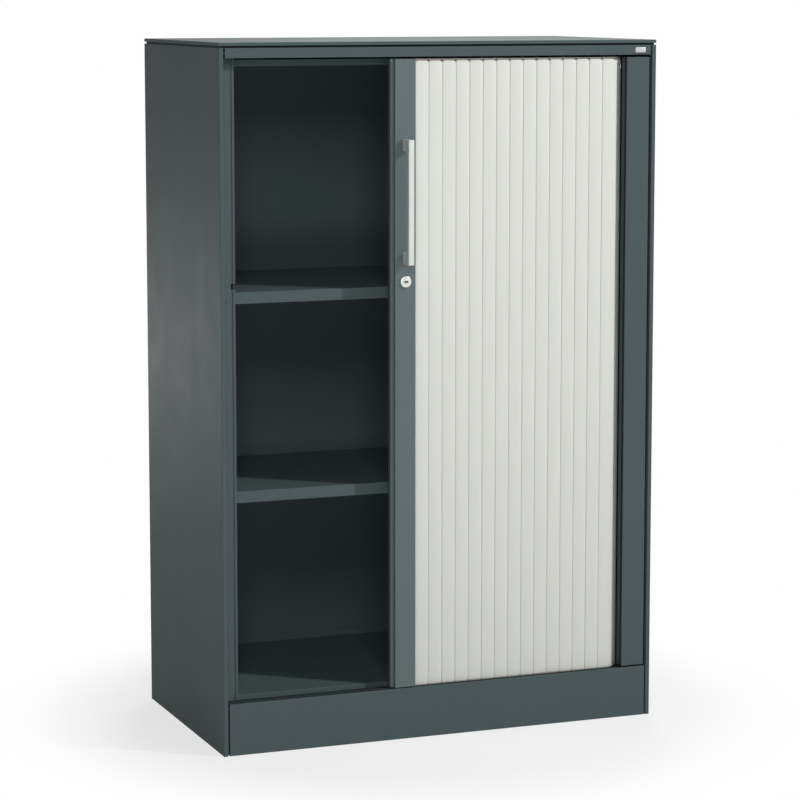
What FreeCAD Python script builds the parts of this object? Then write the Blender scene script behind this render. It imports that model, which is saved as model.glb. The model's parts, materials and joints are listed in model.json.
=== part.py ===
import FreeCAD, Part
import math
import os

# Roll front tool cabinet: a sheet-steel carcass on a plinth, closed by a curtain of upright slats that
# slides sideways, turns back round the right corner and is stored along the side and the back.
# Millimetres, +Z up. Inside the functions y is counted back from the front plane of the carcass;
# save() moves every sub-part so that the origin is under the middle of the whole object.

# Carcass
WIDTH = 800.0
DEPTH = 435.0
HEIGHT = 1205.0
SHEET = 1.0
EDGE_WIDTH = 7.5
SIDE_RETURN = 20.0
SHADOW_GAP = 3.0
SEAM = 0.4
FOLD_RADIUS = 0.9

# Top
COVER_HEIGHT = 5.5
COVER_GAP = 3.5
COVER_LIP = 12.0
COVER_ROUNDING = 1.4
COVER_SKIN = 1.5
COVER_FOOT_INSET = 3.0
RAIL_HEIGHT = 17.0
RAIL_GAP = 3.5
RAIL_FLANGE = 22.0
RAIL_LOWER_FLANGE = 6.5
ROOF_DROP = 8.0
CROSS_MEMBER_WIDTH = 30.0
CROSS_MEMBER_COUNT = 3
CROSS_MEMBER_INSET = 40.0

# Plinth and floor
PLINTH_HEIGHT = 90.0
PLINTH_FLANGE = 25.0
PLINTH_FOOT = 20.0
PLINTH_END = 10.0
PLINTH_ROUNDING = 1.8
PLINTH_REAR_INSET = 40.0
BOTTOM_DROP = 8.5
FLOOR_RISE = 5.6
FLOOR_SETBACK = 36.0
FLOOR_STOP_HEIGHT = 11.0
FOOT_RADIUS = 16.0
FOOT_PAD = 6.0
FOOT_STEM_RADIUS = 4.0
FOOT_NUT_RADIUS = 8.0
FOOT_STEM_LENGTH = 42.0
FOOT_INSET = 45.0
BRACKET_HEIGHT = 24.0
BRACKET_SHEET = 2.5
BRACKET_WIDTH = 60.0
STEM_CLEARANCE = 0.05

# Ceiling
CEILING_GAP = 3.5
CEILING_FASCIA = 10.5

# Inner walls
BACK_CHANNEL = 29.0
CHANNEL_WALL_GAP = 2.0
INNER_WALL_SETBACK = 44.0
CHANNEL_CORNER = 16.0

# Curtain and its path
SLAT_PITCH = 25.0
SLAT_GAP = 0.8
SLAT_THICKNESS = 6.0
SLAT_WALL = 1.1
SLAT_CROWN = 0.5
SLAT_TAPER = 2.0
SLAT_SETBACK = 8.0
SLAT_FOOT_GAP = 2.3
SLAT_HEAD_GAP = 7.0
SLAT_CORNER_RADIUS = 2.5
BEAD_RADIUS = 1.1
BEAD_NECK = 1.0
BEAD_CLEARANCE = 0.3
CORNER_RADIUS = 28.0
FRONT_SLAT_COUNT = 15
STORED_SLAT_COUNT = 14
LAST_SLAT_OVERHANG = 7.55
BACK_RUN_REACH = 380.0
GLIDER_WIDTH = 15.0
GLIDER_THICKNESS = 2.8
GLIDER_ARM = 2.2
GLIDER_DEPTH = 5.0
GLIDE_CLEARANCE = 0.3
PIN_RADIUS = 1.5
PIN_CLEARANCE = 0.4
PIN_REACH = 6.0
TRACK_WALL = 1.6
TRACK_BASE = 1.0

# Lead bar
BAR_WIDTH = 37.0
BAR_DEPTH = 22.0
BAR_WALL = 1.2
BAR_LIP_WIDTH = 4.1
BAR_LIP_STEP = 2.6
BAR_LIP_SETBACK = 6.0
BAR_TO_CURTAIN = 2.6
BAR_STOP_GAP = 1.8
BAR_FOOT_GAP = 2.0
BAR_BLOCK_HEIGHT = 20.0
BAR_BLOCK_CLEARANCE = 0.1
BAR_SHOE_INSET = 4.0
BAR_SHOE_HALF = 4.0
BAR_PIN_INSET = 3.0
BAR_PIN_PITCH = 8.0
POST_STOP_GAP = 1.5

# Handle
HANDLE_PROJECTION = 29.0
HANDLE_HOLE_SPACING = 192.0
HANDLE_WIDTH = 10.0
HANDLE_FOOT = 20.0
HANDLE_GRIP = 9.0
HANDLE_HEAD_DROP = 135.5
HANDLE_ROUNDING = 1.0
HANDLE_FOOT_ROUNDING = 7.0
SCREW_RADIUS = 2.0
SCREW_HEAD_RADIUS = 4.0
SCREW_HEAD = 2.4
SCREW_ENTRY = 8.0
SCREW_CLEARANCE = 0.05
DRIVER_HOLE_RADIUS = 6.0

# Lock
LOCK_DROP = 30.0
LOCK_RADIUS = 9.8
LOCK_PROUD = 4.5
LOCK_RIM = 1.2
BARREL_RADIUS = 8.0
PLUG_RADIUS = 5.5
PLUG_PROUD = 0.3
PLUG_CLEARANCE = 0.05
KEYWAY_LENGTH = 7.6
KEYWAY_WIDTH = 2.0
KEYWAY_DEPTH = 6.0
LOCK_NUT_RADIUS = 11.5
LOCK_NUT_THICKNESS = 3.0
CAM_LENGTH = 22.0
CAM_WIDTH = 10.0
CAM_HUB_RADIUS = 5.5
CAM_THICKNESS = 2.0
CAM_GAP = 0.4
CAM_BOSS_RADIUS = 4.0
CAM_SCREW_RADIUS = 4.8
CAM_SCREW_HEAD = 1.6

# Left stop profile and its strike
STOP_WIDTH = 26.0
STOP_SETBACK = 26.5
STOP_DEPTH = 17.0
STOP_LIP_WIDTH = 4.0
STOP_LIP_PROUD = 1.5
STRIKE_THICKNESS = 1.5
STRIKE_WIDTH = 11.0
STRIKE_HEIGHT = 60.0
NOTCH_WIDTH = 7.5
NOTCH_BELOW = 28.0
NOTCH_ABOVE = 12.0
NOTCH_CLEARANCE = 1.0
STRIKE_SCREW_RADIUS = 1.5
STRIKE_SCREW_HEAD_RADIUS = 2.6
STRIKE_SCREW_HEAD = 1.0
STRIKE_SCREW_INSET = 5.0

# Right post
POST_WIDTH = 43.3
POST_EDGE_GAP = 5.3
POST_RETURN = 20.0
POST_FOOT_GAP = 3.0
POST_HEAD_GAP = 4.0
POST_TAB_WIDTH = 16.0
POST_TAB_DEPTH = 14.0
SEAL_DEPTH = 6.0
SEAL_SETBACK = 1.0
SEAL_PROUD = 0.8

# Shelves
SHELF_HEIGHTS = (446.0, 786.0)
SHELF_EDGE = 20.0
SHELF_SETBACK = 47.0
SHELF_UNDERFOLD = 14.0
SHELF_UPSTAND = 16.0
UPRIGHT_WIDTH = 22.0
UPRIGHT_THICKNESS = 2.0
UPRIGHT_FRONT = 70.0
UPRIGHT_REAR_INSET = 40.0
SLOT_PITCH = 25.0
SLOT_HEIGHT = 12.0
SLOT_WIDTH = 3.0
CLIP_WIDTH = 16.0
CLIP_HEIGHT = 10.0
CLIP_THICKNESS = 2.2

# Blank badge plate
BADGE_WIDTH = 20.0
BADGE_HEIGHT = 9.0
BADGE_THICKNESS = 0.8
BADGE_INSET = 20.0
BADGE_ROUNDING = 2.2

OVERRUN = 2.0

# Derived places
FRONT_PLANE = HANDLE_PROJECTION - (DEPTH + HANDLE_PROJECTION) / 2
SIDE_X = WIDTH / 2
INNER_X = SIDE_X - EDGE_WIDTH
FRONT_X = INNER_X - SHADOW_GAP
COVER_BOTTOM = HEIGHT - COVER_HEIGHT
SIDE_TOP = COVER_BOTTOM - COVER_GAP
RAIL_BOTTOM = SIDE_TOP - RAIL_HEIGHT
ROOF_Z = SIDE_TOP - ROOF_DROP
FRONT_HEAD = RAIL_BOTTOM - RAIL_GAP
BOTTOM_Z = PLINTH_HEIGHT - BOTTOM_DROP
FLOOR_Z = PLINTH_HEIGHT + FLOOR_RISE
CEILING_TOP = RAIL_BOTTOM - CEILING_GAP
CEILING_Z = CEILING_TOP - CEILING_FASCIA
REAR_Y = DEPTH - SHEET
REAR_INNER_Y = REAR_Y - SHEET
SLAT_MID_Y = SLAT_SETBACK + SLAT_THICKNESS / 2
POST_RIGHT = INNER_X - POST_EDGE_GAP
POST_LEFT = POST_RIGHT - POST_WIDTH
PATH_X = POST_LEFT + SLAT_THICKNESS / 2 - SHEET + GLIDE_CLEARANCE / 2
ARC_X = PATH_X - CORNER_RADIUS
BACK_WALL_Y = REAR_INNER_Y - BACK_CHANNEL
PATH_BACK_Y = BACK_WALL_Y + SHEET + CHANNEL_WALL_GAP + 2 * SLAT_THICKNESS
INNER_WALL_X = PATH_X - SLAT_THICKNESS / 2 - CHANNEL_WALL_GAP
CURTAIN_START = ARC_X + LAST_SLAT_OVERHANG - FRONT_SLAT_COUNT * SLAT_PITCH
BAR_RIGHT = CURTAIN_START - BAR_TO_CURTAIN
BAR_LEFT = BAR_RIGHT - BAR_WIDTH
BAR_LIP_LEFT = BAR_LEFT - BAR_LIP_STEP - BAR_LIP_WIDTH
BAR_MID = (BAR_LEFT + BAR_RIGHT) / 2
BAR_BOTTOM = PLINTH_HEIGHT + BAR_FOOT_GAP
BAR_TOP = FRONT_HEAD
SLAT_BOTTOM = PLINTH_HEIGHT + SLAT_FOOT_GAP
SLAT_TOP = RAIL_BOTTOM - SLAT_HEAD_GAP
GLIDER_BOTTOM = PLINTH_HEIGHT + GLIDE_CLEARANCE
GLIDER_TOP = FRONT_HEAD
PIN_BOTTOM = PLINTH_HEIGHT - PIN_REACH
PIN_TOP = RAIL_BOTTOM + PIN_REACH
UPPER_TRACK_BOTTOM = RAIL_BOTTOM + GLIDE_CLEARANCE
GROOVE_HALF = PIN_RADIUS + PIN_CLEARANCE
HANDLE_LENGTH = HANDLE_HOLE_SPACING + HANDLE_FOOT
HANDLE_TOP = BAR_TOP - HANDLE_HEAD_DROP
HANDLE_BOTTOM = HANDLE_TOP - HANDLE_LENGTH
HANDLE_HOLE_HEIGHTS = (HANDLE_BOTTOM + HANDLE_FOOT / 2, HANDLE_TOP - HANDLE_FOOT / 2)
LOCK_HEIGHT = HANDLE_BOTTOM - LOCK_DROP
STOP_RIGHT = STOP_WIDTH - INNER_X
STRIKE_BACK = STOP_SETBACK + SHEET + STRIKE_THICKNESS
CAM_Y = STRIKE_BACK + CAM_GAP
SHELF_LEFT = UPRIGHT_THICKNESS + SEAM - INNER_X
SHELF_RIGHT = INNER_WALL_X - SHEET - UPRIGHT_THICKNESS - SEAM
SHELF_BACK = BACK_WALL_Y - SEAM
UPRIGHT_REAR = BACK_WALL_Y - UPRIGHT_REAR_INSET - UPRIGHT_WIDTH
CLOSE_TRAVEL = BAR_LIP_LEFT - BAR_STOP_GAP + INNER_X
OPEN_TRAVEL = POST_LEFT - POST_STOP_GAP - BAR_RIGHT


def block(x0, x1, y0, y1, z0, z1):
    """A box between two corners."""
    return Part.makeBox(x1 - x0, y1 - y0, z1 - z0, FreeCAD.Vector(x0, y0, z0))


def rod(x, y, z0, z1, radius):
    """An upright cylinder."""
    return Part.makeCylinder(radius, z1 - z0, FreeCAD.Vector(x, y, z0), FreeCAD.Vector(0, 0, 1))


def spindle(x, z, y0, y1, radius):
    """A cylinder that runs from front to back."""
    return Part.makeCylinder(radius, y1 - y0, FreeCAD.Vector(x, y0, z), FreeCAD.Vector(0, 1, 0))


def joined(shapes):
    """One clean solid from overlapping or touching pieces."""
    shapes = list(shapes)
    return shapes[0].fuse(shapes[1:]).removeSplitter()


def edges_where(shape, test):
    """The edges whose two ends and middle all pass a test on their points."""
    found = []
    for edge in shape.Edges:
        first, last = edge.ParameterRange
        points = [edge.valueAt(first), edge.valueAt((first + last) / 2), edge.valueAt(last)]
        if all(test(point) for point in points):
            found.append(edge)
    return found


def near(a, b):
    """True if two lengths are the same place."""
    return abs(a - b) < SHEET / 100


def rounded(shape, radius, test):
    """The shape with the edges that pass the test rounded."""
    return shape.makeFillet(radius, edges_where(shape, test))


def save(name, shape):
    """Moves a sub-part to the object's frame and writes it."""
    moved = shape.copy()
    moved.translate(FreeCAD.Vector(0, FRONT_PLANE, 0))
    os.makedirs("parts", exist_ok=True)
    moved.exportStep("parts/" + name + ".step")
    print(name, len(moved.Solids), moved.isValid(), round(moved.Volume))


def corner_wedge(gap, z0, z1):
    """The wedge cut from the corner between the inner walls, where the curtain turns, grown by a gap."""
    corner_x = INNER_WALL_X + OVERRUN
    corner_y = BACK_WALL_Y + SHEET + OVERRUN
    reach = INNER_WALL_X + BACK_WALL_Y + SHEET - CHANNEL_CORNER - gap * math.sqrt(2)
    points = [
        FreeCAD.Vector(corner_x, corner_y, z0),
        FreeCAD.Vector(reach - corner_y, corner_y, z0),
        FreeCAD.Vector(corner_x, reach - corner_x, z0),
    ]
    face = Part.Face(Part.makePolygon(points + points[:1]))
    return face.extrude(FreeCAD.Vector(0, 0, z1 - z0))


def side_panel(side):
    """A folded side: outer skin, front, rear, top and bottom edges, and a return all round inside."""
    pieces = [
        block(-SIDE_X, SHEET - SIDE_X, 0, DEPTH, 0, SIDE_TOP),
        block(-SIDE_X, -INNER_X, 0, SHEET, 0, SIDE_TOP),
        block(-SIDE_X, -INNER_X, DEPTH - SHEET, DEPTH, 0, SIDE_TOP),
        block(-SIDE_X, -INNER_X, 0, DEPTH, 0, SHEET),
        block(-SIDE_X, -INNER_X, 0, DEPTH, SIDE_TOP - SHEET, SIDE_TOP),
    ]
    ring = block(-INNER_X - SHEET, -INNER_X, 0, DEPTH, 0, SIDE_TOP).cut(
        block(-INNER_X - OVERRUN, OVERRUN - INNER_X, SIDE_RETURN, DEPTH - SIDE_RETURN,
              SIDE_RETURN, SIDE_TOP - SIDE_RETURN))
    panel = joined(pieces + [ring])

    def folded(p):
        """True at the two front uprights and the outer rear one."""
        outer = near(p.x, -SIDE_X)
        return (near(p.y, 0) and (outer or near(p.x, -INNER_X))) or (near(p.y, DEPTH) and outer)

    panel = rounded(panel, FOLD_RADIUS, folded)
    if side > 0:
        panel = panel.mirror(FreeCAD.Vector(0, 0, 0), FreeCAD.Vector(1, 0, 0))
    return panel


def rear_panel():
    """The outer back, let in between the sides."""
    x = INNER_X - SEAM
    return block(-x, x, REAR_INNER_Y, REAR_Y, 0, SIDE_TOP)


def top_cover():
    """The flat cover: a shallow pan turned down, with a lip inwards under its rim and a set-back foot all
    round that stands on the sides."""
    outer = block(-SIDE_X, SIDE_X, 0, DEPTH, COVER_BOTTOM, HEIGHT)
    outer = rounded(outer, COVER_ROUNDING, lambda p: near(p.z, HEIGHT))
    pocket = block(SHEET - SIDE_X, SIDE_X - SHEET, SHEET, DEPTH - SHEET,
                   COVER_BOTTOM + SHEET, HEIGHT - COVER_SKIN)
    mouth = block(COVER_LIP - SIDE_X, SIDE_X - COVER_LIP, COVER_LIP, DEPTH - COVER_LIP,
                  COVER_BOTTOM - OVERRUN, COVER_BOTTOM + 2 * SHEET)
    inset = COVER_FOOT_INSET
    inner = inset + SHEET
    foot = block(inset - SIDE_X, SIDE_X - inset, inset, DEPTH - inset, SIDE_TOP, COVER_BOTTOM + SHEET).cut(
        block(inner - SIDE_X, SIDE_X - inner, inner, DEPTH - inner, SIDE_TOP - OVERRUN, HEIGHT))
    return joined([outer.cut(pocket).cut(mouth), foot])


def roof_panel():
    """The sheet that carries the upper track, between the sides and behind the front rail."""
    return block(-INNER_X, INNER_X, SHEET, REAR_INNER_Y, ROOF_Z, ROOF_Z + SHEET)


def top_cross_members():
    """U-shaped bars from side to side between the roof sheet and the cover."""
    span = DEPTH - 2 * CROSS_MEMBER_INSET - CROSS_MEMBER_WIDTH
    bars = []
    for i in range(CROSS_MEMBER_COUNT):
        y = CROSS_MEMBER_INSET + span * i / (CROSS_MEMBER_COUNT - 1)
        low = ROOF_Z + SHEET
        bar = block(-INNER_X, INNER_X, y, y + CROSS_MEMBER_WIDTH, low, COVER_BOTTOM)
        hollow = block(-INNER_X - OVERRUN, INNER_X + OVERRUN, y + SHEET,
                       y + CROSS_MEMBER_WIDTH - SHEET, low - OVERRUN, COVER_BOTTOM - SHEET)
        bars.append(bar.cut(hollow))
    return Part.makeCompound(bars)


def top_front_rail():
    """The front rail over the curtain, a channel open to the back."""
    rail = joined([
        block(-FRONT_X, FRONT_X, 0, SHEET, RAIL_BOTTOM, SIDE_TOP),
        block(-FRONT_X, FRONT_X, 0, RAIL_FLANGE, SIDE_TOP - SHEET, SIDE_TOP),
        block(-FRONT_X, FRONT_X, 0, RAIL_LOWER_FLANGE, RAIL_BOTTOM, RAIL_BOTTOM + SHEET),
        block(-INNER_X, -FRONT_X, 2 * SHEET, RAIL_FLANGE, SIDE_TOP - SHEET, SIDE_TOP),
        block(FRONT_X, INNER_X, 2 * SHEET, RAIL_FLANGE, SIDE_TOP - SHEET, SIDE_TOP),
    ])
    return rounded(rail, FOLD_RADIUS,
                   lambda p: near(p.y, 0) and (near(p.z, RAIL_BOTTOM) or near(p.z, SIDE_TOP)))


def ceiling_panel():
    """The inside ceiling: sheet, front fascia, and side flanges up to the roof sheet."""
    right = INNER_WALL_X - SHEET
    panel = joined([
        block(-INNER_X, right, FLOOR_SETBACK, BACK_WALL_Y, CEILING_Z, CEILING_Z + SHEET),
        block(-INNER_X, right, FLOOR_SETBACK, FLOOR_SETBACK + SHEET, CEILING_Z, CEILING_TOP),
        block(-INNER_X, SHEET - INNER_X, FLOOR_SETBACK, BACK_WALL_Y, CEILING_Z, ROOF_Z),
        block(right - SHEET, right, FLOOR_SETBACK, BACK_WALL_Y, CEILING_Z, ROOF_Z),
    ])
    return panel.cut(corner_wedge(SHEET, CEILING_Z - OVERRUN, ROOF_Z + OVERRUN))


def track_band(half, z0, z1, start):
    """The region within a half width of the curtain's path: front run, corner, side run, corner, back run."""
    def side_line(offset):
        outer = CORNER_RADIUS + offset
        diagonal = outer * math.sqrt(2) / 2
        front_y = SLAT_MID_Y - offset
        back_y = PATH_BACK_Y + offset
        first = FreeCAD.Vector(ARC_X, SLAT_MID_Y + CORNER_RADIUS, 0)
        second = FreeCAD.Vector(ARC_X, PATH_BACK_Y - CORNER_RADIUS, 0)
        points = [
            FreeCAD.Vector(start, front_y, 0),
            FreeCAD.Vector(ARC_X, front_y, 0),
            first + FreeCAD.Vector(outer, 0, 0),
            second + FreeCAD.Vector(outer, 0, 0),
            FreeCAD.Vector(ARC_X, back_y, 0),
            FreeCAD.Vector(ARC_X - BACK_RUN_REACH, back_y, 0),
        ]
        edges = [
            Part.LineSegment(points[0], points[1]).toShape(),
            Part.Arc(points[1], first + FreeCAD.Vector(diagonal, -diagonal, 0), points[2]).toShape(),
            Part.LineSegment(points[2], points[3]).toShape(),
            Part.Arc(points[3], second + FreeCAD.Vector(diagonal, diagonal, 0), points[4]).toShape(),
            Part.LineSegment(points[4], points[5]).toShape(),
        ]
        return points, edges

    outer_points, outer_edges = side_line(half)
    inner_points, inner_edges = side_line(-half)
    ends = [
        Part.LineSegment(outer_points[0], inner_points[0]).toShape(),
        Part.LineSegment(outer_points[-1], inner_points[-1]).toShape(),
    ]
    wire = Part.Wire(Part.__sortEdges__(outer_edges + inner_edges + ends))
    band = Part.Face(wire).extrude(FreeCAD.Vector(0, 0, z1 - z0))
    band.translate(FreeCAD.Vector(0, 0, z0))
    return band


def curtain_groove(z0, z1):
    """The groove that the curtain's pins run in."""
    return track_band(GROOVE_HALF, z0, z1, GROOVE_HALF - FRONT_X)


def lower_track():
    """The plastic channel under the plinth's flange, standing on the bottom sheet."""
    top = PLINTH_HEIGHT - SHEET
    body = track_band(GROOVE_HALF + TRACK_WALL, BOTTOM_Z, top, -FRONT_X)
    return body.cut(curtain_groove(BOTTOM_Z + TRACK_BASE, top + OVERRUN))


def upper_track():
    """The plastic channel under the roof sheet, open downwards."""
    body = track_band(GROOVE_HALF + TRACK_WALL, UPPER_TRACK_BOTTOM, ROOF_Z, -FRONT_X)
    return body.cut(curtain_groove(UPPER_TRACK_BOTTOM - OVERRUN, ROOF_Z - TRACK_BASE))


def plinth_front():
    """The plinth's face, with a flange at the top that the curtain runs over, one at the foot, and a
    return at each end that closes the joint to the side."""
    low = SHEET
    high = BOTTOM_Z - SHEET
    plinth = joined([
        block(-FRONT_X, SHEET - FRONT_X, 0, PLINTH_END, low, high),
        block(FRONT_X - SHEET, FRONT_X, 0, PLINTH_END, low, high),
        block(-INNER_X, SHEET - FRONT_X, PLINTH_END - SHEET, PLINTH_END, low, high),
        block(FRONT_X - SHEET, INNER_X, PLINTH_END - SHEET, PLINTH_END, low, high),
        block(-FRONT_X, FRONT_X, 0, SHEET, 0, PLINTH_HEIGHT),
        block(-FRONT_X, FRONT_X, 0, PLINTH_FLANGE, PLINTH_HEIGHT - SHEET, PLINTH_HEIGHT),
        block(-FRONT_X, FRONT_X, 0, PLINTH_FOOT, 0, SHEET),
    ])
    plinth = rounded(plinth, PLINTH_ROUNDING / 2,
                     lambda p: near(p.y, 0) and (near(p.z, PLINTH_HEIGHT) or near(p.z, 0)))
    return plinth.cut(curtain_groove(PLINTH_HEIGHT - SHEET - OVERRUN, PLINTH_HEIGHT + OVERRUN))


def plinth_rear():
    """A channel across the back under the bottom sheet."""
    y1 = REAR_INNER_Y - PLINTH_REAR_INSET
    y0 = y1 - PLINTH_FOOT
    top = BOTTOM_Z - SHEET
    return joined([
        block(-INNER_X, INNER_X, y0, y0 + SHEET, 0, top),
        block(-INNER_X, INNER_X, y0, y1, 0, SHEET),
        block(-INNER_X, INNER_X, y0, y1, top - SHEET, top),
    ])


def bottom_panel():
    """The sheet under the floor that carries the lower track."""
    return block(-INNER_X, INNER_X, SHEET, REAR_INNER_Y, BOTTOM_Z - SHEET, BOTTOM_Z)


def floor_panel():
    """The inside floor: sheet, front lip and side flanges down to the bottom sheet."""
    right = INNER_WALL_X - SHEET
    back = BACK_WALL_Y
    panel = joined([
        block(-INNER_X, right, FLOOR_SETBACK, back, FLOOR_Z - SHEET, FLOOR_Z),
        block(-INNER_X, right, FLOOR_SETBACK, FLOOR_SETBACK + SHEET, BOTTOM_Z, FLOOR_Z),
        block(-INNER_X, SHEET - INNER_X, FLOOR_SETBACK, back, BOTTOM_Z, FLOOR_Z),
        block(right - SHEET, right, FLOOR_SETBACK, back, BOTTOM_Z, FLOOR_Z),
    ])
    panel = panel.cut(corner_wedge(SHEET, BOTTOM_Z - OVERRUN, FLOOR_Z + OVERRUN))
    return rounded(panel, FOLD_RADIUS, lambda p: near(p.y, FLOOR_SETBACK) and near(p.z, FLOOR_Z))


def floor_back_stop():
    """The flat strip across the back of the floor that keeps what stands there off the wall."""
    strip = block(-INNER_X, INNER_WALL_X - SHEET, BACK_WALL_Y - SHEET, BACK_WALL_Y,
                  FLOOR_Z, FLOOR_Z + FLOOR_STOP_HEIGHT)
    return strip.cut(corner_wedge(SHEET, FLOOR_Z - OVERRUN, FLOOR_Z + FLOOR_STOP_HEIGHT + OVERRUN))


def right_inner_wall():
    """The wall between the shelves and the stored curtain, up to the slanted corner."""
    wall = block(INNER_WALL_X - SHEET, INNER_WALL_X, INNER_WALL_SETBACK, BACK_WALL_Y, BOTTOM_Z, ROOF_Z)
    return wall.cut(corner_wedge(SHEET, BOTTOM_Z - OVERRUN, ROOF_Z + OVERRUN))


def inner_back_wall():
    """The wall behind the shelves, bent at its right end to leave room where the curtain turns."""
    back = BACK_WALL_Y + SHEET
    flat = block(-INNER_X, INNER_WALL_X, BACK_WALL_Y, back, BOTTOM_Z, ROOF_Z)
    corner = block(INNER_WALL_X - 2 * CHANNEL_CORNER, INNER_WALL_X, back - 2 * CHANNEL_CORNER, back,
                   BOTTOM_Z, ROOF_Z)
    slant = corner.common(corner_wedge(SHEET, BOTTOM_Z, ROOF_Z))
    return joined([flat, slant]).cut(corner_wedge(0, BOTTOM_Z - OVERRUN, ROOF_Z + OVERRUN))


def left_stop_profile():
    """The profile that the closed curtain meets, with a proud lip, a slot in its flank for the lock's cam,
    and a small notch in the lip for the plug's tail."""
    left = -INNER_X
    lip_y = STOP_SETBACK - STOP_LIP_PROUD
    lip_x = STOP_RIGHT - STOP_LIP_WIDTH
    profile = joined([
        block(left, lip_x + SHEET, STOP_SETBACK, STOP_SETBACK + SHEET, BOTTOM_Z, ROOF_Z),
        block(lip_x, lip_x + SHEET, lip_y, STOP_SETBACK + SHEET, BOTTOM_Z, ROOF_Z),
        block(lip_x, STOP_RIGHT, lip_y, lip_y + SHEET, BOTTOM_Z, ROOF_Z),
        block(STOP_RIGHT - SHEET, STOP_RIGHT, lip_y, STOP_SETBACK + STOP_DEPTH, BOTTOM_Z, ROOF_Z),
        block(left, left + SHEET, STOP_SETBACK, STOP_SETBACK + STOP_DEPTH, BOTTOM_Z, ROOF_Z),
    ])
    notch_half = CAM_BOSS_RADIUS + NOTCH_CLEARANCE
    notch = block(STOP_RIGHT - NOTCH_WIDTH, STOP_RIGHT + OVERRUN, lip_y - OVERRUN,
                  CAM_Y, LOCK_HEIGHT - notch_half, LOCK_HEIGHT + notch_half)
    slot = block(STOP_RIGHT - 2 * SHEET, STOP_RIGHT + OVERRUN, STOP_SETBACK + SHEET,
                 CAM_Y + CAM_THICKNESS + CAM_SCREW_HEAD + NOTCH_CLEARANCE,
                 LOCK_HEIGHT - NOTCH_BELOW, LOCK_HEIGHT + NOTCH_ABOVE)
    floor_cut = block(left - OVERRUN, STOP_RIGHT + OVERRUN, FLOOR_SETBACK - SEAM,
                      STOP_SETBACK + STOP_DEPTH + OVERRUN, BOTTOM_Z - OVERRUN, FLOOR_Z)
    ceiling_cut = block(left - OVERRUN, STOP_RIGHT + OVERRUN, FLOOR_SETBACK - SEAM,
                        STOP_SETBACK + STOP_DEPTH + OVERRUN, CEILING_Z, ROOF_Z + OVERRUN)
    return profile.cut(notch).cut(slot).cut(floor_cut).cut(ceiling_cut)


def strike_box():
    """Left, right, bottom and top of the strike plate."""
    right = STOP_RIGHT - NOTCH_WIDTH
    return right - STRIKE_WIDTH, right, LOCK_HEIGHT - STRIKE_HEIGHT / 2, LOCK_HEIGHT + STRIKE_HEIGHT / 2


def strike_screw_places():
    """The two screws of the strike plate."""
    left, right, low, high = strike_box()
    middle = (left + right) / 2
    return [(middle, low + STRIKE_SCREW_INSET), (middle, high - STRIKE_SCREW_INSET)]


def strike_plate():
    """The steel plate behind the stop profile that the cam hooks."""
    left, right, low, high = strike_box()
    plate = block(left, right, STOP_SETBACK + SHEET, STRIKE_BACK, low, high)
    for x, z in strike_screw_places():
        hole = spindle(x, z, STOP_SETBACK, STRIKE_BACK + OVERRUN, STRIKE_SCREW_RADIUS + SCREW_CLEARANCE)
        plate = plate.cut(hole)
    return plate


def strike_screws():
    """Pan-head screws from the front of the stop profile."""
    screws = []
    for x, z in strike_screw_places():
        head = spindle(x, z, STOP_SETBACK - STRIKE_SCREW_HEAD, STOP_SETBACK, STRIKE_SCREW_HEAD_RADIUS)
        shank = spindle(x, z, STOP_SETBACK, STRIKE_BACK, STRIKE_SCREW_RADIUS)
        screws.append(joined([head, shank]))
    return Part.makeCompound(screws)


def drilled_stop_profile():
    """The stop profile with the strike's screw holes."""
    profile = left_stop_profile()
    for x, z in strike_screw_places():
        hole = spindle(x, z, STOP_SETBACK - OVERRUN, STOP_SETBACK + SHEET + OVERRUN,
                       STRIKE_SCREW_RADIUS + SCREW_CLEARANCE)
        profile = profile.cut(hole)
    return profile


def right_post_cover():
    """The upright cover beside the stored curtain, a channel with a tab at each end."""
    low = PLINTH_HEIGHT + POST_FOOT_GAP
    high = RAIL_BOTTOM - POST_HEAD_GAP
    tab_right = POST_RIGHT - 2 * SHEET
    tab_left = tab_right - POST_TAB_WIDTH
    tab_back = POST_RETURN - 2 * SHEET
    tab_front = tab_back - SHEET
    post = joined([
        block(POST_LEFT, POST_RIGHT, 0, SHEET, low, high),
        block(POST_LEFT, POST_LEFT + SHEET, 0, POST_RETURN, low, high),
        block(POST_RIGHT - SHEET, POST_RIGHT, 0, POST_RETURN, low, high),
        block(tab_left, POST_RIGHT - SHEET, tab_front, tab_back, PLINTH_HEIGHT, low + POST_TAB_DEPTH),
        block(tab_left, POST_RIGHT - SHEET, tab_front, tab_back, high - POST_TAB_DEPTH, ROOF_Z),
    ])
    return rounded(post, FOLD_RADIUS,
                   lambda p: near(p.y, 0) and (near(p.x, POST_LEFT) or near(p.x, POST_RIGHT)))


def post_seal():
    """The rubber strip on the post's return, behind its front edge, that the opened lead bar comes up to."""
    return block(POST_LEFT - SEAL_PROUD, POST_LEFT, SEAL_SETBACK, SEAL_SETBACK + SEAL_DEPTH,
                 PLINTH_HEIGHT + POST_FOOT_GAP, RAIL_BOTTOM - POST_HEAD_GAP)


def slotted_strips(x0, x1):
    """Front and rear strips with a ladder of slots for the shelf clips."""
    low = FLOOR_Z
    high = CEILING_Z
    count = int((high - low - SLOT_PITCH) / SLOT_PITCH)
    strips = []
    for y in (UPRIGHT_FRONT, UPRIGHT_REAR):
        middle = y + UPRIGHT_WIDTH / 2
        slots = []
        for i in range(count):
            z = low + SLOT_PITCH * (i + 1) - SLOT_HEIGHT / 2
            slots.append(block(x0 - OVERRUN, x1 + OVERRUN, middle - SLOT_WIDTH / 2,
                               middle + SLOT_WIDTH / 2, z, z + SLOT_HEIGHT))
        strip = block(x0, x1, y, y + UPRIGHT_WIDTH, low, high)
        strips.append(strip.cut(Part.makeCompound(slots)))
    return Part.makeCompound(strips)


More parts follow.
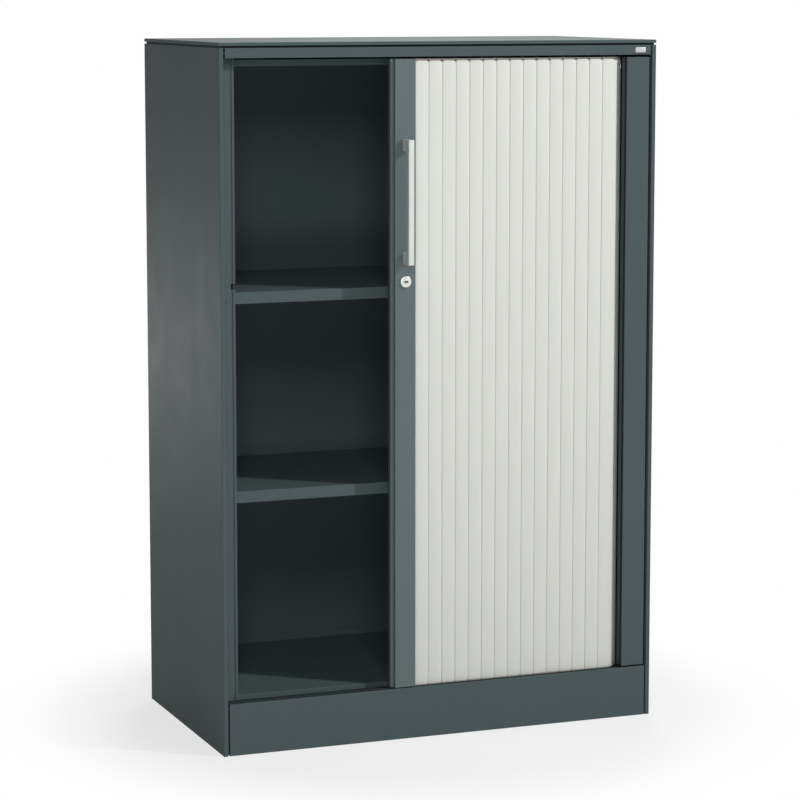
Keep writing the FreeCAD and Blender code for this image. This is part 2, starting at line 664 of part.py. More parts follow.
def shelf(top):
    """A shelf: sheet, folded front edge, side flanges and a rear upstand."""
    low = top - SHELF_EDGE
    front = SHELF_SETBACK
    board = joined([
        block(SHELF_LEFT, SHELF_RIGHT, front, SHELF_BACK, top - SHEET, top),
        block(SHELF_LEFT, SHELF_RIGHT, front, front + SHEET, low, top),
        block(SHELF_LEFT, SHELF_RIGHT, front, front + SHELF_UNDERFOLD, low, low + SHEET),
        block(SHELF_LEFT, SHELF_LEFT + SHEET, front, SHELF_BACK, low, top),
        block(SHELF_RIGHT - SHEET, SHELF_RIGHT, front, SHELF_BACK, low, top),
        block(SHELF_LEFT, SHELF_RIGHT, SHELF_BACK - SHEET, SHELF_BACK, top - SHEET, top + SHELF_UPSTAND),
    ])
    board = board.cut(corner_wedge(SHEET + SEAM, low - OVERRUN, top + SHELF_UPSTAND + OVERRUN))
    return rounded(board, FOLD_RADIUS,
                   lambda p: near(p.y, front) and (near(p.z, top) or near(p.z, low)))


def clip_places():
    """Side, strip and shelf of every clip."""
    places = []
    for top in SHELF_HEIGHTS:
        for y in (UPRIGHT_FRONT, UPRIGHT_REAR):
            places.append((-1, y + UPRIGHT_WIDTH / 2, top - SHELF_EDGE))
            places.append((1, y + UPRIGHT_WIDTH / 2, top - SHELF_EDGE))
    return places


def shelf_clips():
    """Clips hooked on the slotted strips, one under each end of a shelf's side flanges."""
    clips = []
    for side, y, z in clip_places():
        if side < 0:
            x0 = SHELF_LEFT - SEAM
            x1 = x0 + CLIP_WIDTH
        else:
            x1 = SHELF_RIGHT + SEAM
            x0 = x1 - CLIP_WIDTH
        wall = x0 if side < 0 else x1 - CLIP_THICKNESS
        half = CLIP_WIDTH / 2
        plate = block(x0, x1, y - half, y + half, z - CLIP_THICKNESS, z)
        web = block(wall, wall + CLIP_THICKNESS, y - half, y + half, z - CLIP_HEIGHT, z)
        clips.append(joined([plate, web]))
    return Part.makeCompound(clips)


def foot_places():
    """The four levelling feet."""
    x = INNER_X - FOOT_INSET
    rear = REAR_INNER_Y - PLINTH_REAR_INSET - PLINTH_FOOT - FOOT_INSET
    return [(-x, FOOT_INSET), (x, FOOT_INSET), (-x, rear), (x, rear)]


def foot_brackets():
    """Plates from the sides that carry the levelling feet."""
    plates = []
    half = BRACKET_WIDTH / 2
    for x, y in foot_places():
        low = BRACKET_HEIGHT
        outer = math.copysign(INNER_X, x)
        inner = x - math.copysign(half, x)
        x0 = min(outer, inner)
        x1 = max(outer, inner)
        plate = block(x0, x1, y - half, y + half, low, low + BRACKET_SHEET)
        wall = outer if x < 0 else outer - BRACKET_SHEET
        web = block(wall, wall + BRACKET_SHEET, y - half, y + half, SHEET, BOTTOM_Z - SHEET)
        bracket = joined([plate, web])
        plates.append(bracket.cut(rod(x, y, low - OVERRUN, low + BRACKET_SHEET + OVERRUN,
                                      FOOT_STEM_RADIUS + STEM_CLEARANCE)))
    return Part.makeCompound(plates)


def levelling_feet():
    """Threaded feet, drawn without their thread."""
    feet = []
    for x, y in foot_places():
        pad = rod(x, y, 0, FOOT_PAD, FOOT_RADIUS)
        nut = rod(x, y, FOOT_PAD, BRACKET_HEIGHT, FOOT_NUT_RADIUS)
        stem = rod(x, y, FOOT_PAD, FOOT_PAD + FOOT_STEM_LENGTH, FOOT_STEM_RADIUS)
        feet.append(joined([pad, nut, stem]))
    return Part.makeCompound(feet)


def badge_plate():
    """A small blank plate at the right end of the front rail."""
    x = FRONT_X - BADGE_INSET
    z = (RAIL_BOTTOM + SIDE_TOP) / 2
    plate = block(x - BADGE_WIDTH / 2, x + BADGE_WIDTH / 2, -BADGE_THICKNESS, 0,
                  z - BADGE_HEIGHT / 2, z + BADGE_HEIGHT / 2)
    corners = [edge for edge in plate.Edges if near(edge.Length, BADGE_THICKNESS)]
    return plate.makeFillet(BADGE_ROUNDING, corners)


def path_point(s):
    """The point on the curtain's path at a length s from its first joint."""
    straight = ARC_X - CURTAIN_START
    quarter = CORNER_RADIUS * math.pi / 2
    if s <= straight:
        return CURTAIN_START + s, SLAT_MID_Y
    if s <= straight + quarter:
        angle = (s - straight) / CORNER_RADIUS
        return (ARC_X + CORNER_RADIUS * math.sin(angle),
                SLAT_MID_Y + CORNER_RADIUS * (1 - math.cos(angle)))
    return PATH_X, SLAT_MID_Y + CORNER_RADIUS + s - straight - quarter


def curtain_joints(count):
    """Places of the joints between slats: each slat is a chord of one pitch on the path."""
    lengths = [0.0]
    for _ in range(count):
        start = path_point(lengths[-1])
        low = lengths[-1] + SLAT_PITCH / 2
        high = lengths[-1] + 2 * SLAT_PITCH
        while high - low > SLAT_GAP / 1e6:
            middle = (low + high) / 2
            if math.dist(start, path_point(middle)) < SLAT_PITCH:
                low = middle
            else:
                high = middle
        lengths.append(high)
    return [path_point(s) for s in lengths]


def slat_section():
    """One slat's hollow section with a crowned front, from its left joint at zero to the next joint."""
    half = SLAT_THICKNESS / 2
    left = SLAT_GAP / 2
    right = SLAT_PITCH - SLAT_GAP / 2
    shoulder = SLAT_CROWN - half
    corners = [FreeCAD.Vector(x, y, 0) for x, y in (
        (right, shoulder), (right, 0), (right - SLAT_TAPER, half),
        (left + SLAT_TAPER, half), (left, 0), (left, shoulder))]
    crown = FreeCAD.Vector(SLAT_PITCH / 2, -half, 0)
    front = Part.Arc(corners[-1], crown, corners[0]).toShape()
    sides = [Part.LineSegment(a, b).toShape() for a, b in zip(corners, corners[1:])]
    outline = Part.Face(Part.Wire([front] + sides))
    inner_left = left + SLAT_TAPER
    inner_right = SLAT_PITCH - BEAD_RADIUS - BEAD_CLEARANCE - SLAT_WALL
    chamber = Part.makePlane(inner_right - inner_left, SLAT_THICKNESS - SLAT_CROWN - 2 * SLAT_WALL,
                             FreeCAD.Vector(inner_left, shoulder + SLAT_WALL, 0))
    return outline.cut(chamber)


def slat_bar():
    """The section as long as a slat, with its bead and neck added and its nest cut."""
    up = FreeCAD.Vector(0, 0, SLAT_TOP - SLAT_BOTTOM)
    body = slat_section().extrude(up)
    body.translate(FreeCAD.Vector(0, 0, SLAT_BOTTOM))
    nest = rod(SLAT_PITCH, 0, SLAT_BOTTOM - OVERRUN, SLAT_TOP + OVERRUN, BEAD_RADIUS + BEAD_CLEARANCE)
    bead = rod(0, 0, SLAT_BOTTOM, SLAT_TOP, BEAD_RADIUS)
    neck = block(0, SLAT_GAP / 2 + BEAD_RADIUS, -BEAD_NECK / 2, BEAD_NECK / 2, SLAT_BOTTOM, SLAT_TOP)
    return joined([body.cut(nest), bead, neck])


def placed(shape, joint, following):
    """A slat-like shape carried to its place between two joints."""
    angle = math.degrees(math.atan2(following[1] - joint[1], following[0] - joint[0]))
    moved = shape.copy()
    moved.rotate(FreeCAD.Vector(0, 0, 0), FreeCAD.Vector(0, 0, 1), angle)
    moved.translate(FreeCAD.Vector(joint[0], joint[1], 0))
    return moved


def slat_blank():
    """A slat along the path's start, with its two head corners rounded."""
    body = slat_bar()
    r = SLAT_CORNER_RADIUS
    for x, toward in ((SLAT_GAP / 2, 1), (SLAT_PITCH - SLAT_GAP / 2, -1)):
        centre = x + toward * r
        corner = block(min(x, centre) - OVERRUN * (toward > 0), max(x, centre) + OVERRUN * (toward < 0),
                       -SLAT_THICKNESS, SLAT_THICKNESS, SLAT_TOP - r, SLAT_TOP + OVERRUN)
        keep = spindle(centre, SLAT_TOP - r, -SLAT_THICKNESS, SLAT_THICKNESS, r)
        body = body.cut(corner.cut(keep))
    return body


def glider_blank(upward):
    """A nylon end piece: a plug in the slat's hollow, an arm to the joint and a pin for the track."""
    half = GLIDER_THICKNESS / 2
    x0 = (SLAT_PITCH - GLIDER_WIDTH) / 2
    shift = SLAT_CROWN / 2
    arm = GLIDER_ARM / 2
    if upward:
        ledge, outer, plug = SLAT_TOP + GLIDE_CLEARANCE, GLIDER_TOP, SLAT_TOP - GLIDER_DEPTH
        pin = rod(0, 0, ledge, PIN_TOP, PIN_RADIUS)
        body = block(x0, x0 + GLIDER_WIDTH, shift - half, shift + half, plug, outer)
        bridge = block(0, x0 + OVERRUN, -arm, arm, ledge, outer)
    else:
        ledge, outer, plug = SLAT_BOTTOM - GLIDE_CLEARANCE, GLIDER_BOTTOM, SLAT_BOTTOM + GLIDER_DEPTH
        pin = rod(0, 0, PIN_BOTTOM, ledge, PIN_RADIUS)
        body = block(x0, x0 + GLIDER_WIDTH, shift - half, shift + half, outer, plug)
        bridge = block(0, x0 + OVERRUN, -arm, arm, outer, ledge)
    return joined([body, bridge, pin])


def lead_bar():
    """The hollow bar that leads the curtain, with a set-back lip on its left."""
    back = BAR_DEPTH
    outer = block(BAR_LEFT, BAR_RIGHT, 0, back, BAR_BOTTOM, BAR_TOP)
    outer = rounded(outer, FOLD_RADIUS,
                    lambda p: near(p.y, 0) and (near(p.x, BAR_LEFT) or near(p.x, BAR_RIGHT)))
    hollow = block(BAR_LEFT + BAR_WALL, BAR_RIGHT - BAR_WALL, BAR_WALL, back - BAR_WALL,
                   BAR_BOTTOM - OVERRUN, BAR_TOP + OVERRUN)
    lip_back = BAR_LIP_SETBACK + BAR_WALL
    lip = block(BAR_LIP_LEFT, BAR_LEFT + BAR_WALL, BAR_LIP_SETBACK, lip_back, BAR_BOTTOM, BAR_TOP)
    flank = block(BAR_LIP_LEFT, BAR_LIP_LEFT + BAR_WALL, BAR_LIP_SETBACK, back - BAR_LIP_SETBACK,
                  BAR_BOTTOM, BAR_TOP)
    nest_wall = SLAT_MID_Y - BAR_WALL
    tongue_end = CURTAIN_START - PIN_RADIUS - BEAD_CLEARANCE
    tongue = block(BAR_RIGHT - BAR_WALL, tongue_end, nest_wall, SLAT_MID_Y + BAR_WALL, BAR_BOTTOM, BAR_TOP)
    bar = joined([outer, lip, flank, tongue]).cut(hollow)
    bar = bar.cut(spindle(BAR_MID, LOCK_HEIGHT, -OVERRUN, back + OVERRUN, BARREL_RADIUS + SCREW_CLEARANCE))
    for z in HANDLE_HOLE_HEIGHTS:
        bar = bar.cut(spindle(BAR_MID, z, -OVERRUN, BAR_DEPTH / 2, SCREW_RADIUS + SCREW_CLEARANCE))
        bar = bar.cut(spindle(BAR_MID, z, BAR_DEPTH / 2, back + OVERRUN, DRIVER_HOLE_RADIUS))
    return bar


def bar_guide_blocks():
    """Nylon blocks in both ends of the lead bar, with pins for the tracks and a shoe under the bar."""
    c = BAR_WALL + BAR_BLOCK_CLEARANCE
    x0 = BAR_LEFT + c
    x1 = BAR_RIGHT - c
    shoe_left = BAR_LEFT + BAR_SHOE_INSET
    shoe_right = BAR_RIGHT - BAR_SHOE_INSET
    pins = [BAR_LEFT + BAR_PIN_INSET, BAR_LEFT + BAR_PIN_INSET + BAR_PIN_PITCH]
    foot = [
        block(x0, x1, c, BAR_DEPTH - c, BAR_BOTTOM, BAR_BOTTOM + BAR_BLOCK_HEIGHT),
        block(shoe_left, shoe_right, SLAT_MID_Y - BAR_SHOE_HALF, SLAT_MID_Y + BAR_SHOE_HALF,
              GLIDER_BOTTOM, BAR_BOTTOM),
    ]
    head = [block(x0, x1, c, BAR_DEPTH - c, BAR_TOP - BAR_BLOCK_HEIGHT, BAR_TOP)]
    for x in pins:
        foot.append(rod(x, SLAT_MID_Y, PIN_BOTTOM, BAR_BOTTOM, PIN_RADIUS))
        head.append(rod(x, SLAT_MID_Y, BAR_TOP, PIN_TOP, PIN_RADIUS))
    return Part.makeCompound([joined(foot), joined(head)])


def handle():
    """The bow handle: a square bar on two feet, rounded where grip and feet meet inside."""
    x0 = BAR_MID - HANDLE_WIDTH / 2
    x1 = BAR_MID + HANDLE_WIDTH / 2
    outer = block(x0, x1, -HANDLE_PROJECTION, 0, HANDLE_BOTTOM, HANDLE_TOP)
    inner_front = HANDLE_GRIP - HANDLE_PROJECTION
    gap = block(x0 - OVERRUN, x1 + OVERRUN, inner_front, OVERRUN,
                HANDLE_BOTTOM + HANDLE_FOOT, HANDLE_TOP - HANDLE_FOOT)
    gap = rounded(gap, HANDLE_FOOT_ROUNDING,
                  lambda p: near(p.y, inner_front) and (near(p.z, HANDLE_BOTTOM + HANDLE_FOOT)
                                                       or near(p.z, HANDLE_TOP - HANDLE_FOOT)))
    bow = outer.cut(gap)
    bow = rounded(bow, HANDLE_ROUNDING,
                  lambda p: near(p.y, -HANDLE_PROJECTION) or (near(p.y, inner_front)
                                                             and (near(p.x, x0) or near(p.x, x1))))
    for z in HANDLE_HOLE_HEIGHTS:
        bow = bow.cut(spindle(BAR_MID, z, -SCREW_ENTRY - OVERRUN, OVERRUN, SCREW_RADIUS + SCREW_CLEARANCE))
    return bow


def handle_screws():
    """Machine screws from inside the lead bar into the handle's feet."""
    screws = []
    for z in HANDLE_HOLE_HEIGHTS:
        shank = spindle(BAR_MID, z, -SCREW_ENTRY, BAR_WALL, SCREW_RADIUS)
        head = spindle(BAR_MID, z, BAR_WALL, BAR_WALL + SCREW_HEAD, SCREW_HEAD_RADIUS)
        screws.append(joined([shank, head]))
    return Part.makeCompound(screws)


def lock_housing():
    """The lock's round collar and its barrel through the bar."""
    collar = spindle(BAR_MID, LOCK_HEIGHT, -LOCK_PROUD, 0, LOCK_RADIUS)
    collar = rounded(collar, LOCK_RIM, lambda p: near(p.y, -LOCK_PROUD))
    barrel = spindle(BAR_MID, LOCK_HEIGHT, 0, BAR_DEPTH + BAR_WALL, BARREL_RADIUS)
    bore = spindle(BAR_MID, LOCK_HEIGHT, -LOCK_PROUD - OVERRUN, BAR_DEPTH + BAR_WALL + OVERRUN,
                   PLUG_RADIUS + PLUG_CLEARANCE)
    return joined([collar, barrel]).cut(bore)


def lock_nut():
    """The hexagon nut that holds the lock against the inside of the bar's front."""
    points = []
    for i in range(7):
        angle = math.radians(60 * i)
        points.append(FreeCAD.Vector(BAR_MID + LOCK_NUT_RADIUS * math.cos(angle), BAR_WALL,
                                     LOCK_HEIGHT + LOCK_NUT_RADIUS * math.sin(angle)))
    nut = Part.Face(Part.makePolygon(points)).extrude(FreeCAD.Vector(0, LOCK_NUT_THICKNESS, 0))
    return nut.cut(spindle(BAR_MID, LOCK_HEIGHT, -OVERRUN, BAR_DEPTH, BARREL_RADIUS + SCREW_CLEARANCE))


def lock_plug():
    """The plug that the key turns, as long as the lock and the cam's seat need. Its keyway lies level."""
    face = -LOCK_PROUD - PLUG_PROUD
    plug = joined([
        spindle(BAR_MID, LOCK_HEIGHT, face, BAR_DEPTH + BAR_WALL, PLUG_RADIUS),
        spindle(BAR_MID, LOCK_HEIGHT, BAR_DEPTH + BAR_WALL, CAM_Y + CAM_THICKNESS, CAM_BOSS_RADIUS),
    ])
    keyway = block(BAR_MID - KEYWAY_LENGTH / 2, BAR_MID + KEYWAY_LENGTH / 2, face - OVERRUN,
                   face + KEYWAY_DEPTH, LOCK_HEIGHT - KEYWAY_WIDTH / 2, LOCK_HEIGHT + KEYWAY_WIDTH / 2)
    return plug.cut(keyway)


def lock_cam():
    """The flat cam on the plug's tail. It hangs down while the lock is open."""
    half = CAM_WIDTH / 2
    blade = block(BAR_MID - half, BAR_MID + half, CAM_Y, CAM_Y + CAM_THICKNESS,
                  LOCK_HEIGHT - CAM_LENGTH, LOCK_HEIGHT)
    hub = spindle(BAR_MID, LOCK_HEIGHT, CAM_Y, CAM_Y + CAM_THICKNESS, CAM_HUB_RADIUS)
    hole = spindle(BAR_MID, LOCK_HEIGHT, CAM_Y - OVERRUN, CAM_Y + CAM_THICKNESS + OVERRUN,
                   CAM_BOSS_RADIUS + SCREW_CLEARANCE)
    return joined([blade, hub]).cut(hole)


def cam_screw():
    """The screw and washer that hold the cam."""
    back = CAM_Y + CAM_THICKNESS
    return spindle(BAR_MID, LOCK_HEIGHT, back, back + CAM_SCREW_HEAD, CAM_SCREW_RADIUS)


def main():
    """Builds and writes every sub-part."""
    save("left_side_panel", side_panel(-1))
    save("right_side_panel", side_panel(1))
    save("rear_panel", rear_panel())
    save("top_cover", top_cover())
    save("roof_panel", roof_panel())
    save("top_cross_members", top_cross_members())
    save("top_front_rail", top_front_rail())
    save("ceiling_panel", ceiling_panel())
    save("upper_track", upper_track())
    save("lower_track", lower_track())
    save("plinth_front", plinth_front())
    save("plinth_rear", plinth_rear())
    save("bottom_panel", bottom_panel())
    save("floor_panel", floor_panel())
    save("floor_back_stop", floor_back_stop())
    save("right_inner_wall", right_inner_wall())
    save("inner_back_wall", inner_back_wall())
    save("left_stop_profile", drilled_stop_profile())
    save("strike_plate", strike_plate())
    save("strike_screws", strike_screws())
    save("right_post_cover", right_post_cover())
    save("post_seal", post_seal())
    save("left_shelf_strips", slotted_strips(-INNER_X, UPRIGHT_THICKNESS - INNER_X))
    save("right_shelf_strips", slotted_strips(INNER_WALL_X - SHEET - UPRIGHT_THICKNESS, INNER_WALL_X - SHEET))
    save("lower_shelf", shelf(SHELF_HEIGHTS[0]))
    save("upper_shelf", shelf(SHELF_HEIGHTS[1]))
    save("shelf_clips", shelf_clips())
    save("foot_brackets", foot_brackets())
    save("levelling_feet", levelling_feet())
    save("badge_plate", badge_plate())

    slat_count = FRONT_SLAT_COUNT + STORED_SLAT_COUNT
    joints = curtain_joints(slat_count)
    slat = slat_blank()
    heads = []
    feet = []
    for i in range(slat_count):
        heads.append(placed(glider_blank(True), joints[i], joints[i + 1]))
        feet.append(placed(glider_blank(False), joints[i], joints[i + 1]))
    for i in range(FRONT_SLAT_COUNT):
        save("slat_%02d" % (i + 1), placed(slat, joints[i], joints[i + 1]))
    stored = [placed(slat, joints[i], joints[i + 1]) for i in range(FRONT_SLAT_COUNT, slat_count)]
    save("stored_slats", Part.makeCompound(stored))
    save("slat_head_gliders", Part.makeCompound(heads[:FRONT_SLAT_COUNT]))
    save("slat_foot_gliders", Part.makeCompound(feet[:FRONT_SLAT_COUNT]))
    save("stored_gliders", Part.makeCompound(heads[FRONT_SLAT_COUNT:] + feet[FRONT_SLAT_COUNT:]))

    save("lead_bar", lead_bar())
    save("bar_guide_blocks", bar_guide_blocks())
    save("handle", handle())
    save("handle_screws", handle_screws())
    save("lock_housing", lock_housing())
    save("lock_nut", lock_nut())
    save("lock_plug", lock_plug())
    save("lock_cam", lock_cam())
    save("cam_screw", cam_screw())
    print("travel to close", CLOSE_TRAVEL, "travel to open", OPEN_TRAVEL)


main()
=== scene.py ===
import json
import math

import bpy
import numpy as np
from mathutils import Euler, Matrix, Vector


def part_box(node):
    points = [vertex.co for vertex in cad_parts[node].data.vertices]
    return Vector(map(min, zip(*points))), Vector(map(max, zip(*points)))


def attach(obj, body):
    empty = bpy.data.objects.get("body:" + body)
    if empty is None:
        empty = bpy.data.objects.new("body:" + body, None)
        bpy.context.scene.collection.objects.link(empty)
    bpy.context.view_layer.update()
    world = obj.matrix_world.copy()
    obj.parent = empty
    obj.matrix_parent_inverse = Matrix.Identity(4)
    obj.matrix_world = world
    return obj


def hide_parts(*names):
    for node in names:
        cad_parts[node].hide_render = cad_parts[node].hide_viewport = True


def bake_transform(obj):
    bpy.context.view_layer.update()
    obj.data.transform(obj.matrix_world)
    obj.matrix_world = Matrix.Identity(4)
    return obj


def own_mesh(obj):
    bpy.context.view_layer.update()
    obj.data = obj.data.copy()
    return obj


# Roll front tool cabinet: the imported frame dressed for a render. Metres, +Z up, the front looks along -Y.

bl_info = {
    "name": "Roll front cabinet",
    "version": (1, 0, 0),
    "blender": (4, 5, 0),
    "location": "View3D > Sidebar > Cabinet",
    "description": "Curtain, handle, lock, finishes and studio for a roll front cabinet",
    "category": "Object",
}

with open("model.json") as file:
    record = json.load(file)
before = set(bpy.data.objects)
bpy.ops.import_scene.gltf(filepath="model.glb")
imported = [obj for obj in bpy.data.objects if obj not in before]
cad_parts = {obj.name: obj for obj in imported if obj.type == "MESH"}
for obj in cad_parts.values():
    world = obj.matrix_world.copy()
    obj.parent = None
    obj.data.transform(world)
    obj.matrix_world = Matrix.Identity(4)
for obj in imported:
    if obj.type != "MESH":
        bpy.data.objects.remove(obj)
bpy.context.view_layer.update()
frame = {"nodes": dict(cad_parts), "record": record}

MM = 0.001
FRONT_PLANE = -0.203
TRACK_SETBACK = 11 * MM
TRACK_Y = FRONT_PLANE + TRACK_SETBACK
PLINTH_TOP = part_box("plinth_front")[1].z
RAIL_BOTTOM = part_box("top_front_rail")[0].z
BEAD_RADIUS = 1.1 * MM
NEST_RADIUS = 1.4 * MM
CURTAIN_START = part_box("slat_01")[0].x + BEAD_RADIUS
CORNER_RADIUS = 28 * MM
SIDE_RUN_INSET = 2.15 * MM
SIDE_RUN_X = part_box("right_post_cover")[0].x + SIDE_RUN_INSET
CORNER_START_X = SIDE_RUN_X - CORNER_RADIUS
FRONT_SLATS = 15
STORED_SLATS = 14
OPEN_TRAVEL = 0.3944
CLOSE_TRAVEL = 0.295
LAST_JOINT_X = 0.3256
OPENED_FIRST_X = 0.34536
OPENED_LAST_X = 0.3625
FEED_SLATS = 12
FEED_OUTER_X = 0.3235
FEED_INNER_X = 0.3080
FEED_SHIFT = 0.45 * MM
FEED_SQUEEZE = 0.8
FEED_TRIM = 0.5 * MM
LAST_SLAT_SLOPE = 0.0412

SLAT_MATERIALS = ("slat_plastic", "end_nylon_painted_shade", "black_nylon")
SLAT_END_ROUNDING = 0.25 * MM
END_PIECE_GAP = 0.3 * MM
END_PIECE_INSET = 0.55 * MM
END_PIECE_DEPTH = 2.3 * MM
END_PIECE_ROUNDING = 0.6 * MM
HEAD_PIECE_GAP = 3.5 * MM
FOOT_PIECE_GAP = 0.3 * MM
PIN_RADIUS = 1.5 * MM
PIN_REACH = 6 * MM
PIN_START = 0.5 * MM
SHARP_ANGLE = 35.0

COVER_RIM = 5.5 * MM
COVER_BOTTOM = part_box("top_cover")[1].z - COVER_RIM

HANDLE_LOW, HANDLE_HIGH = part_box("handle")
LOCK_LOW, LOCK_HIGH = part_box("lock_housing")
BADGE_LOW, BADGE_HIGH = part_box("badge_plate")

COLLAR_SHANK = 8 * MM
COLLAR_RIM = 1.6 * MM
COLLAR_BORE = 5.62 * MM
PLUG_RADIUS = 5.45 * MM
PLUG_TAIL_RADIUS = 4 * MM
KEYWAY_DEPTH = 6 * MM
KEYWAY_LIFT = 0.35 * MM
KEYWAY_SLANT = 0.18
KEYWAY_POWER = 6.0

CAMERA_PLACE = (-1.8364, -4.6887, 1.2910)
CAMERA_PITCH = 82.746
CAMERA_HEADING = -21.380
CAMERA_LENS = 128.04
CAMERA_SHIFT = -0.06


class CurtainSizes(bpy.types.PropertyGroup):
    """Sizes of a slat and of its end pieces."""

    pitch: bpy.props.FloatProperty(
        name="Pitch", description="From one joint to the next", default=25 * MM, unit="LENGTH")
    gap: bpy.props.FloatProperty(
        name="Gap", description="Open width between two slats", default=1.5 * MM, unit="LENGTH")
    thickness: bpy.props.FloatProperty(
        name="Thickness", description="From the crown to the back", default=6 * MM, unit="LENGTH")
    crown: bpy.props.FloatProperty(
        name="Crown", description="Height of the front's arch", default=0.9 * MM, unit="LENGTH")
    shoulder: bpy.props.FloatProperty(
        name="Shoulder", description="Rounding of the front's long edges", default=0.95 * MM, unit="LENGTH")
    corner: bpy.props.FloatProperty(
        name="Corner", description="Rounding of the two head corners", default=4.5 * MM, unit="LENGTH")
    foot_gap: bpy.props.FloatProperty(
        name="Foot gap", description="Slat's foot over the plinth", default=2.3 * MM, unit="LENGTH")
    head_gap: bpy.props.FloatProperty(
        name="Head gap", description="Slat's head under the rail", default=7 * MM, unit="LENGTH")


class FittingSizes(bpy.types.PropertyGroup):
    """Sizes of the handle, the lock and the blank plate."""

    grip: bpy.props.FloatProperty(
        name="Grip", description="Thickness of the handle's grip", default=9 * MM, unit="LENGTH")
    foot: bpy.props.FloatProperty(
        name="Foot", description="Height of each of the handle's feet", default=20 * MM, unit="LENGTH")
    fillet: bpy.props.FloatProperty(
        name="Fillet", description="Rounding inside the bow", default=7 * MM, unit="LENGTH")
    edge: bpy.props.FloatProperty(
        name="Edge", description="Rounding of the handle's edges", default=0.9 * MM, unit="LENGTH")
    keyway: bpy.props.FloatProperty(
        name="Keyway", description="Length of the keyway", default=7.6 * MM, unit="LENGTH")
    keyway_width: bpy.props.FloatProperty(
        name="Keyway width", description="Width of the keyway", default=2.6 * MM, unit="LENGTH")


class FinishColours(bpy.types.PropertyGroup):
    """Colours of the finishes."""

    paint: bpy.props.FloatVectorProperty(
        name="Paint", description="Powder coat of the carcass", default=(0.078, 0.106, 0.109),
        subtype="COLOR", size=3)
    bar: bpy.props.FloatVectorProperty(
        name="Bar paint", description="Powder coat of the lead bar", default=(0.078, 0.106, 0.109),
        subtype="COLOR", size=3)
    slat: bpy.props.FloatVectorProperty(
        name="Slat", description="Extruded plastic of the curtain", default=(0.63, 0.633, 0.607),
        subtype="COLOR", size=3)
    # Painted shade: the end pieces' colour is the slat plastic's tone as it looks in shade under the rail.
    end_piece_painted_shade: bpy.props.FloatVectorProperty(
        name="End piece", description="Nylon of the slats' end pieces", default=(0.40, 0.385, 0.35),
        subtype="COLOR", size=3)
    nickel: bpy.props.FloatVectorProperty(
        name="Nickel", description="Handle and lock", default=(0.68, 0.70, 0.665),
        subtype="COLOR", size=3)


class StudioSettings(bpy.types.PropertyGroup):
    """Strengths of the studio's lights."""

    key: bpy.props.FloatProperty(name="Key", description="Power of the key lamp", default=142.0, unit="POWER")
    low: bpy.props.FloatProperty(
        name="Low", description="Power of the low softbox at the left front", default=5.6, unit="POWER")
    high: bpy.props.FloatProperty(
        name="High", description="Power of the softbox that lights the inside", default=24.0, unit="POWER")
    side: bpy.props.FloatProperty(
        name="Side", description="Power of the lamp whose sheen shows on the left side", default=9.5,
        unit="POWER")
    rear: bpy.props.FloatProperty(
        name="Rear", description="Power of the lamp behind", default=75.0, unit="POWER")
    ambient: bpy.props.FloatProperty(
        name="Ambient", description="Strength of the grey surroundings", default=0.02)


class Socket:
    """A shader socket in an expression. Each operator adds one Math node, and add() any other node."""

    def __init__(self, tree, output=None):
        self.tree = tree
        self.output = output

    def add(self, kind, settings, inputs, output=0):
        """A node of one kind: its settings come first, then the values or links of its sockets."""
        node = self.tree.nodes.new("ShaderNode" + kind)
        for name, value in settings.items():
            setattr(node, name, value)
        for key, value in inputs.items():
            if isinstance(value, Socket):
                self.tree.links.new(value.output, node.inputs[key])
            else:
                node.inputs[key].default_value = value
        return Socket(self.tree, node.outputs[output])

    def shown(self, kind):
        """Links this shader to the tree's output."""
        output = self.tree.nodes.new(kind)
        self.tree.links.new(self.output, output.inputs["Surface"])

    def maths(self, operation, first, second):
        """One Math node on two sockets or numbers."""
        return self.add("Math", {"operation": operation}, {0: first, 1: second})

    def __add__(self, other):
        return self.maths("ADD", self, other)

    __radd__ = __add__

    def __mul__(self, other):
        return self.maths("MULTIPLY", self, other)

    __rmul__ = __mul__

    def above(self, level):
        """1 where the value is over a level."""
        return self.maths("GREATER_THAN", self, level)

    def band(self, low, high):
        """0 under low, 1 over high, and a smooth step between."""
        settings = {"interpolation_type": "SMOOTHSTEP", "clamp": True}
        return self.add("MapRange", settings, {"Value": self, "From Min": low, "From Max": high})

    def part(self, axis):
        """One coordinate of a vector."""
        return self.add("SeparateXYZ", {}, {0: self}, axis)

    def stretched(self, factors):
        """A vector with each coordinate scaled."""
        return self.add("VectorMath", {"operation": "MULTIPLY"}, {0: self, 1: factors})

    def noise(self, scale, detail=2.0, roughness=0.5):
        """Smooth noise from 0 to 1 at a number of features per metre."""
        inputs = {"Vector": self, "Scale": scale, "Detail": detail, "Roughness": roughness}
        return self.add("TexNoise", {}, inputs)

    def cells(self, scale):
        """A grey level for each cell of a random mosaic."""
        return self.add("TexVoronoi", {}, {"Vector": self, "Scale": scale}, 1).part(0)

    def blend(self, first, second):
        """A colour between two, by this factor."""
        return self.add("Mix", {"data_type": "RGBA"}, {0: self, 6: first, 7: second}, 2)

    def bump(self, distance, strength=1.0):
        """A normal from this height."""
        return self.add("Bump", {}, {"Height": self, "Distance": distance, "Strength": strength})


def opaque(colour, factor=1.0):
    """A colour times a factor, with its fourth channel."""
    return (colour[0] * factor, colour[1] * factor, colour[2] * factor, 1.0)


def finish(name, make, uv=False):
    """A material: make takes the coordinates and returns the values and links of a Principled node."""
    material = bpy.data.materials.new(name)
    material.use_nodes = True
    tree = material.node_tree
    tree.nodes.clear()
    place = Socket(tree).add("TexCoord", {}, {}, "UV" if uv else "Object")
    place.add("BsdfPrincipled", {}, make(place)).shown("ShaderNodeOutputMaterial")
    return material


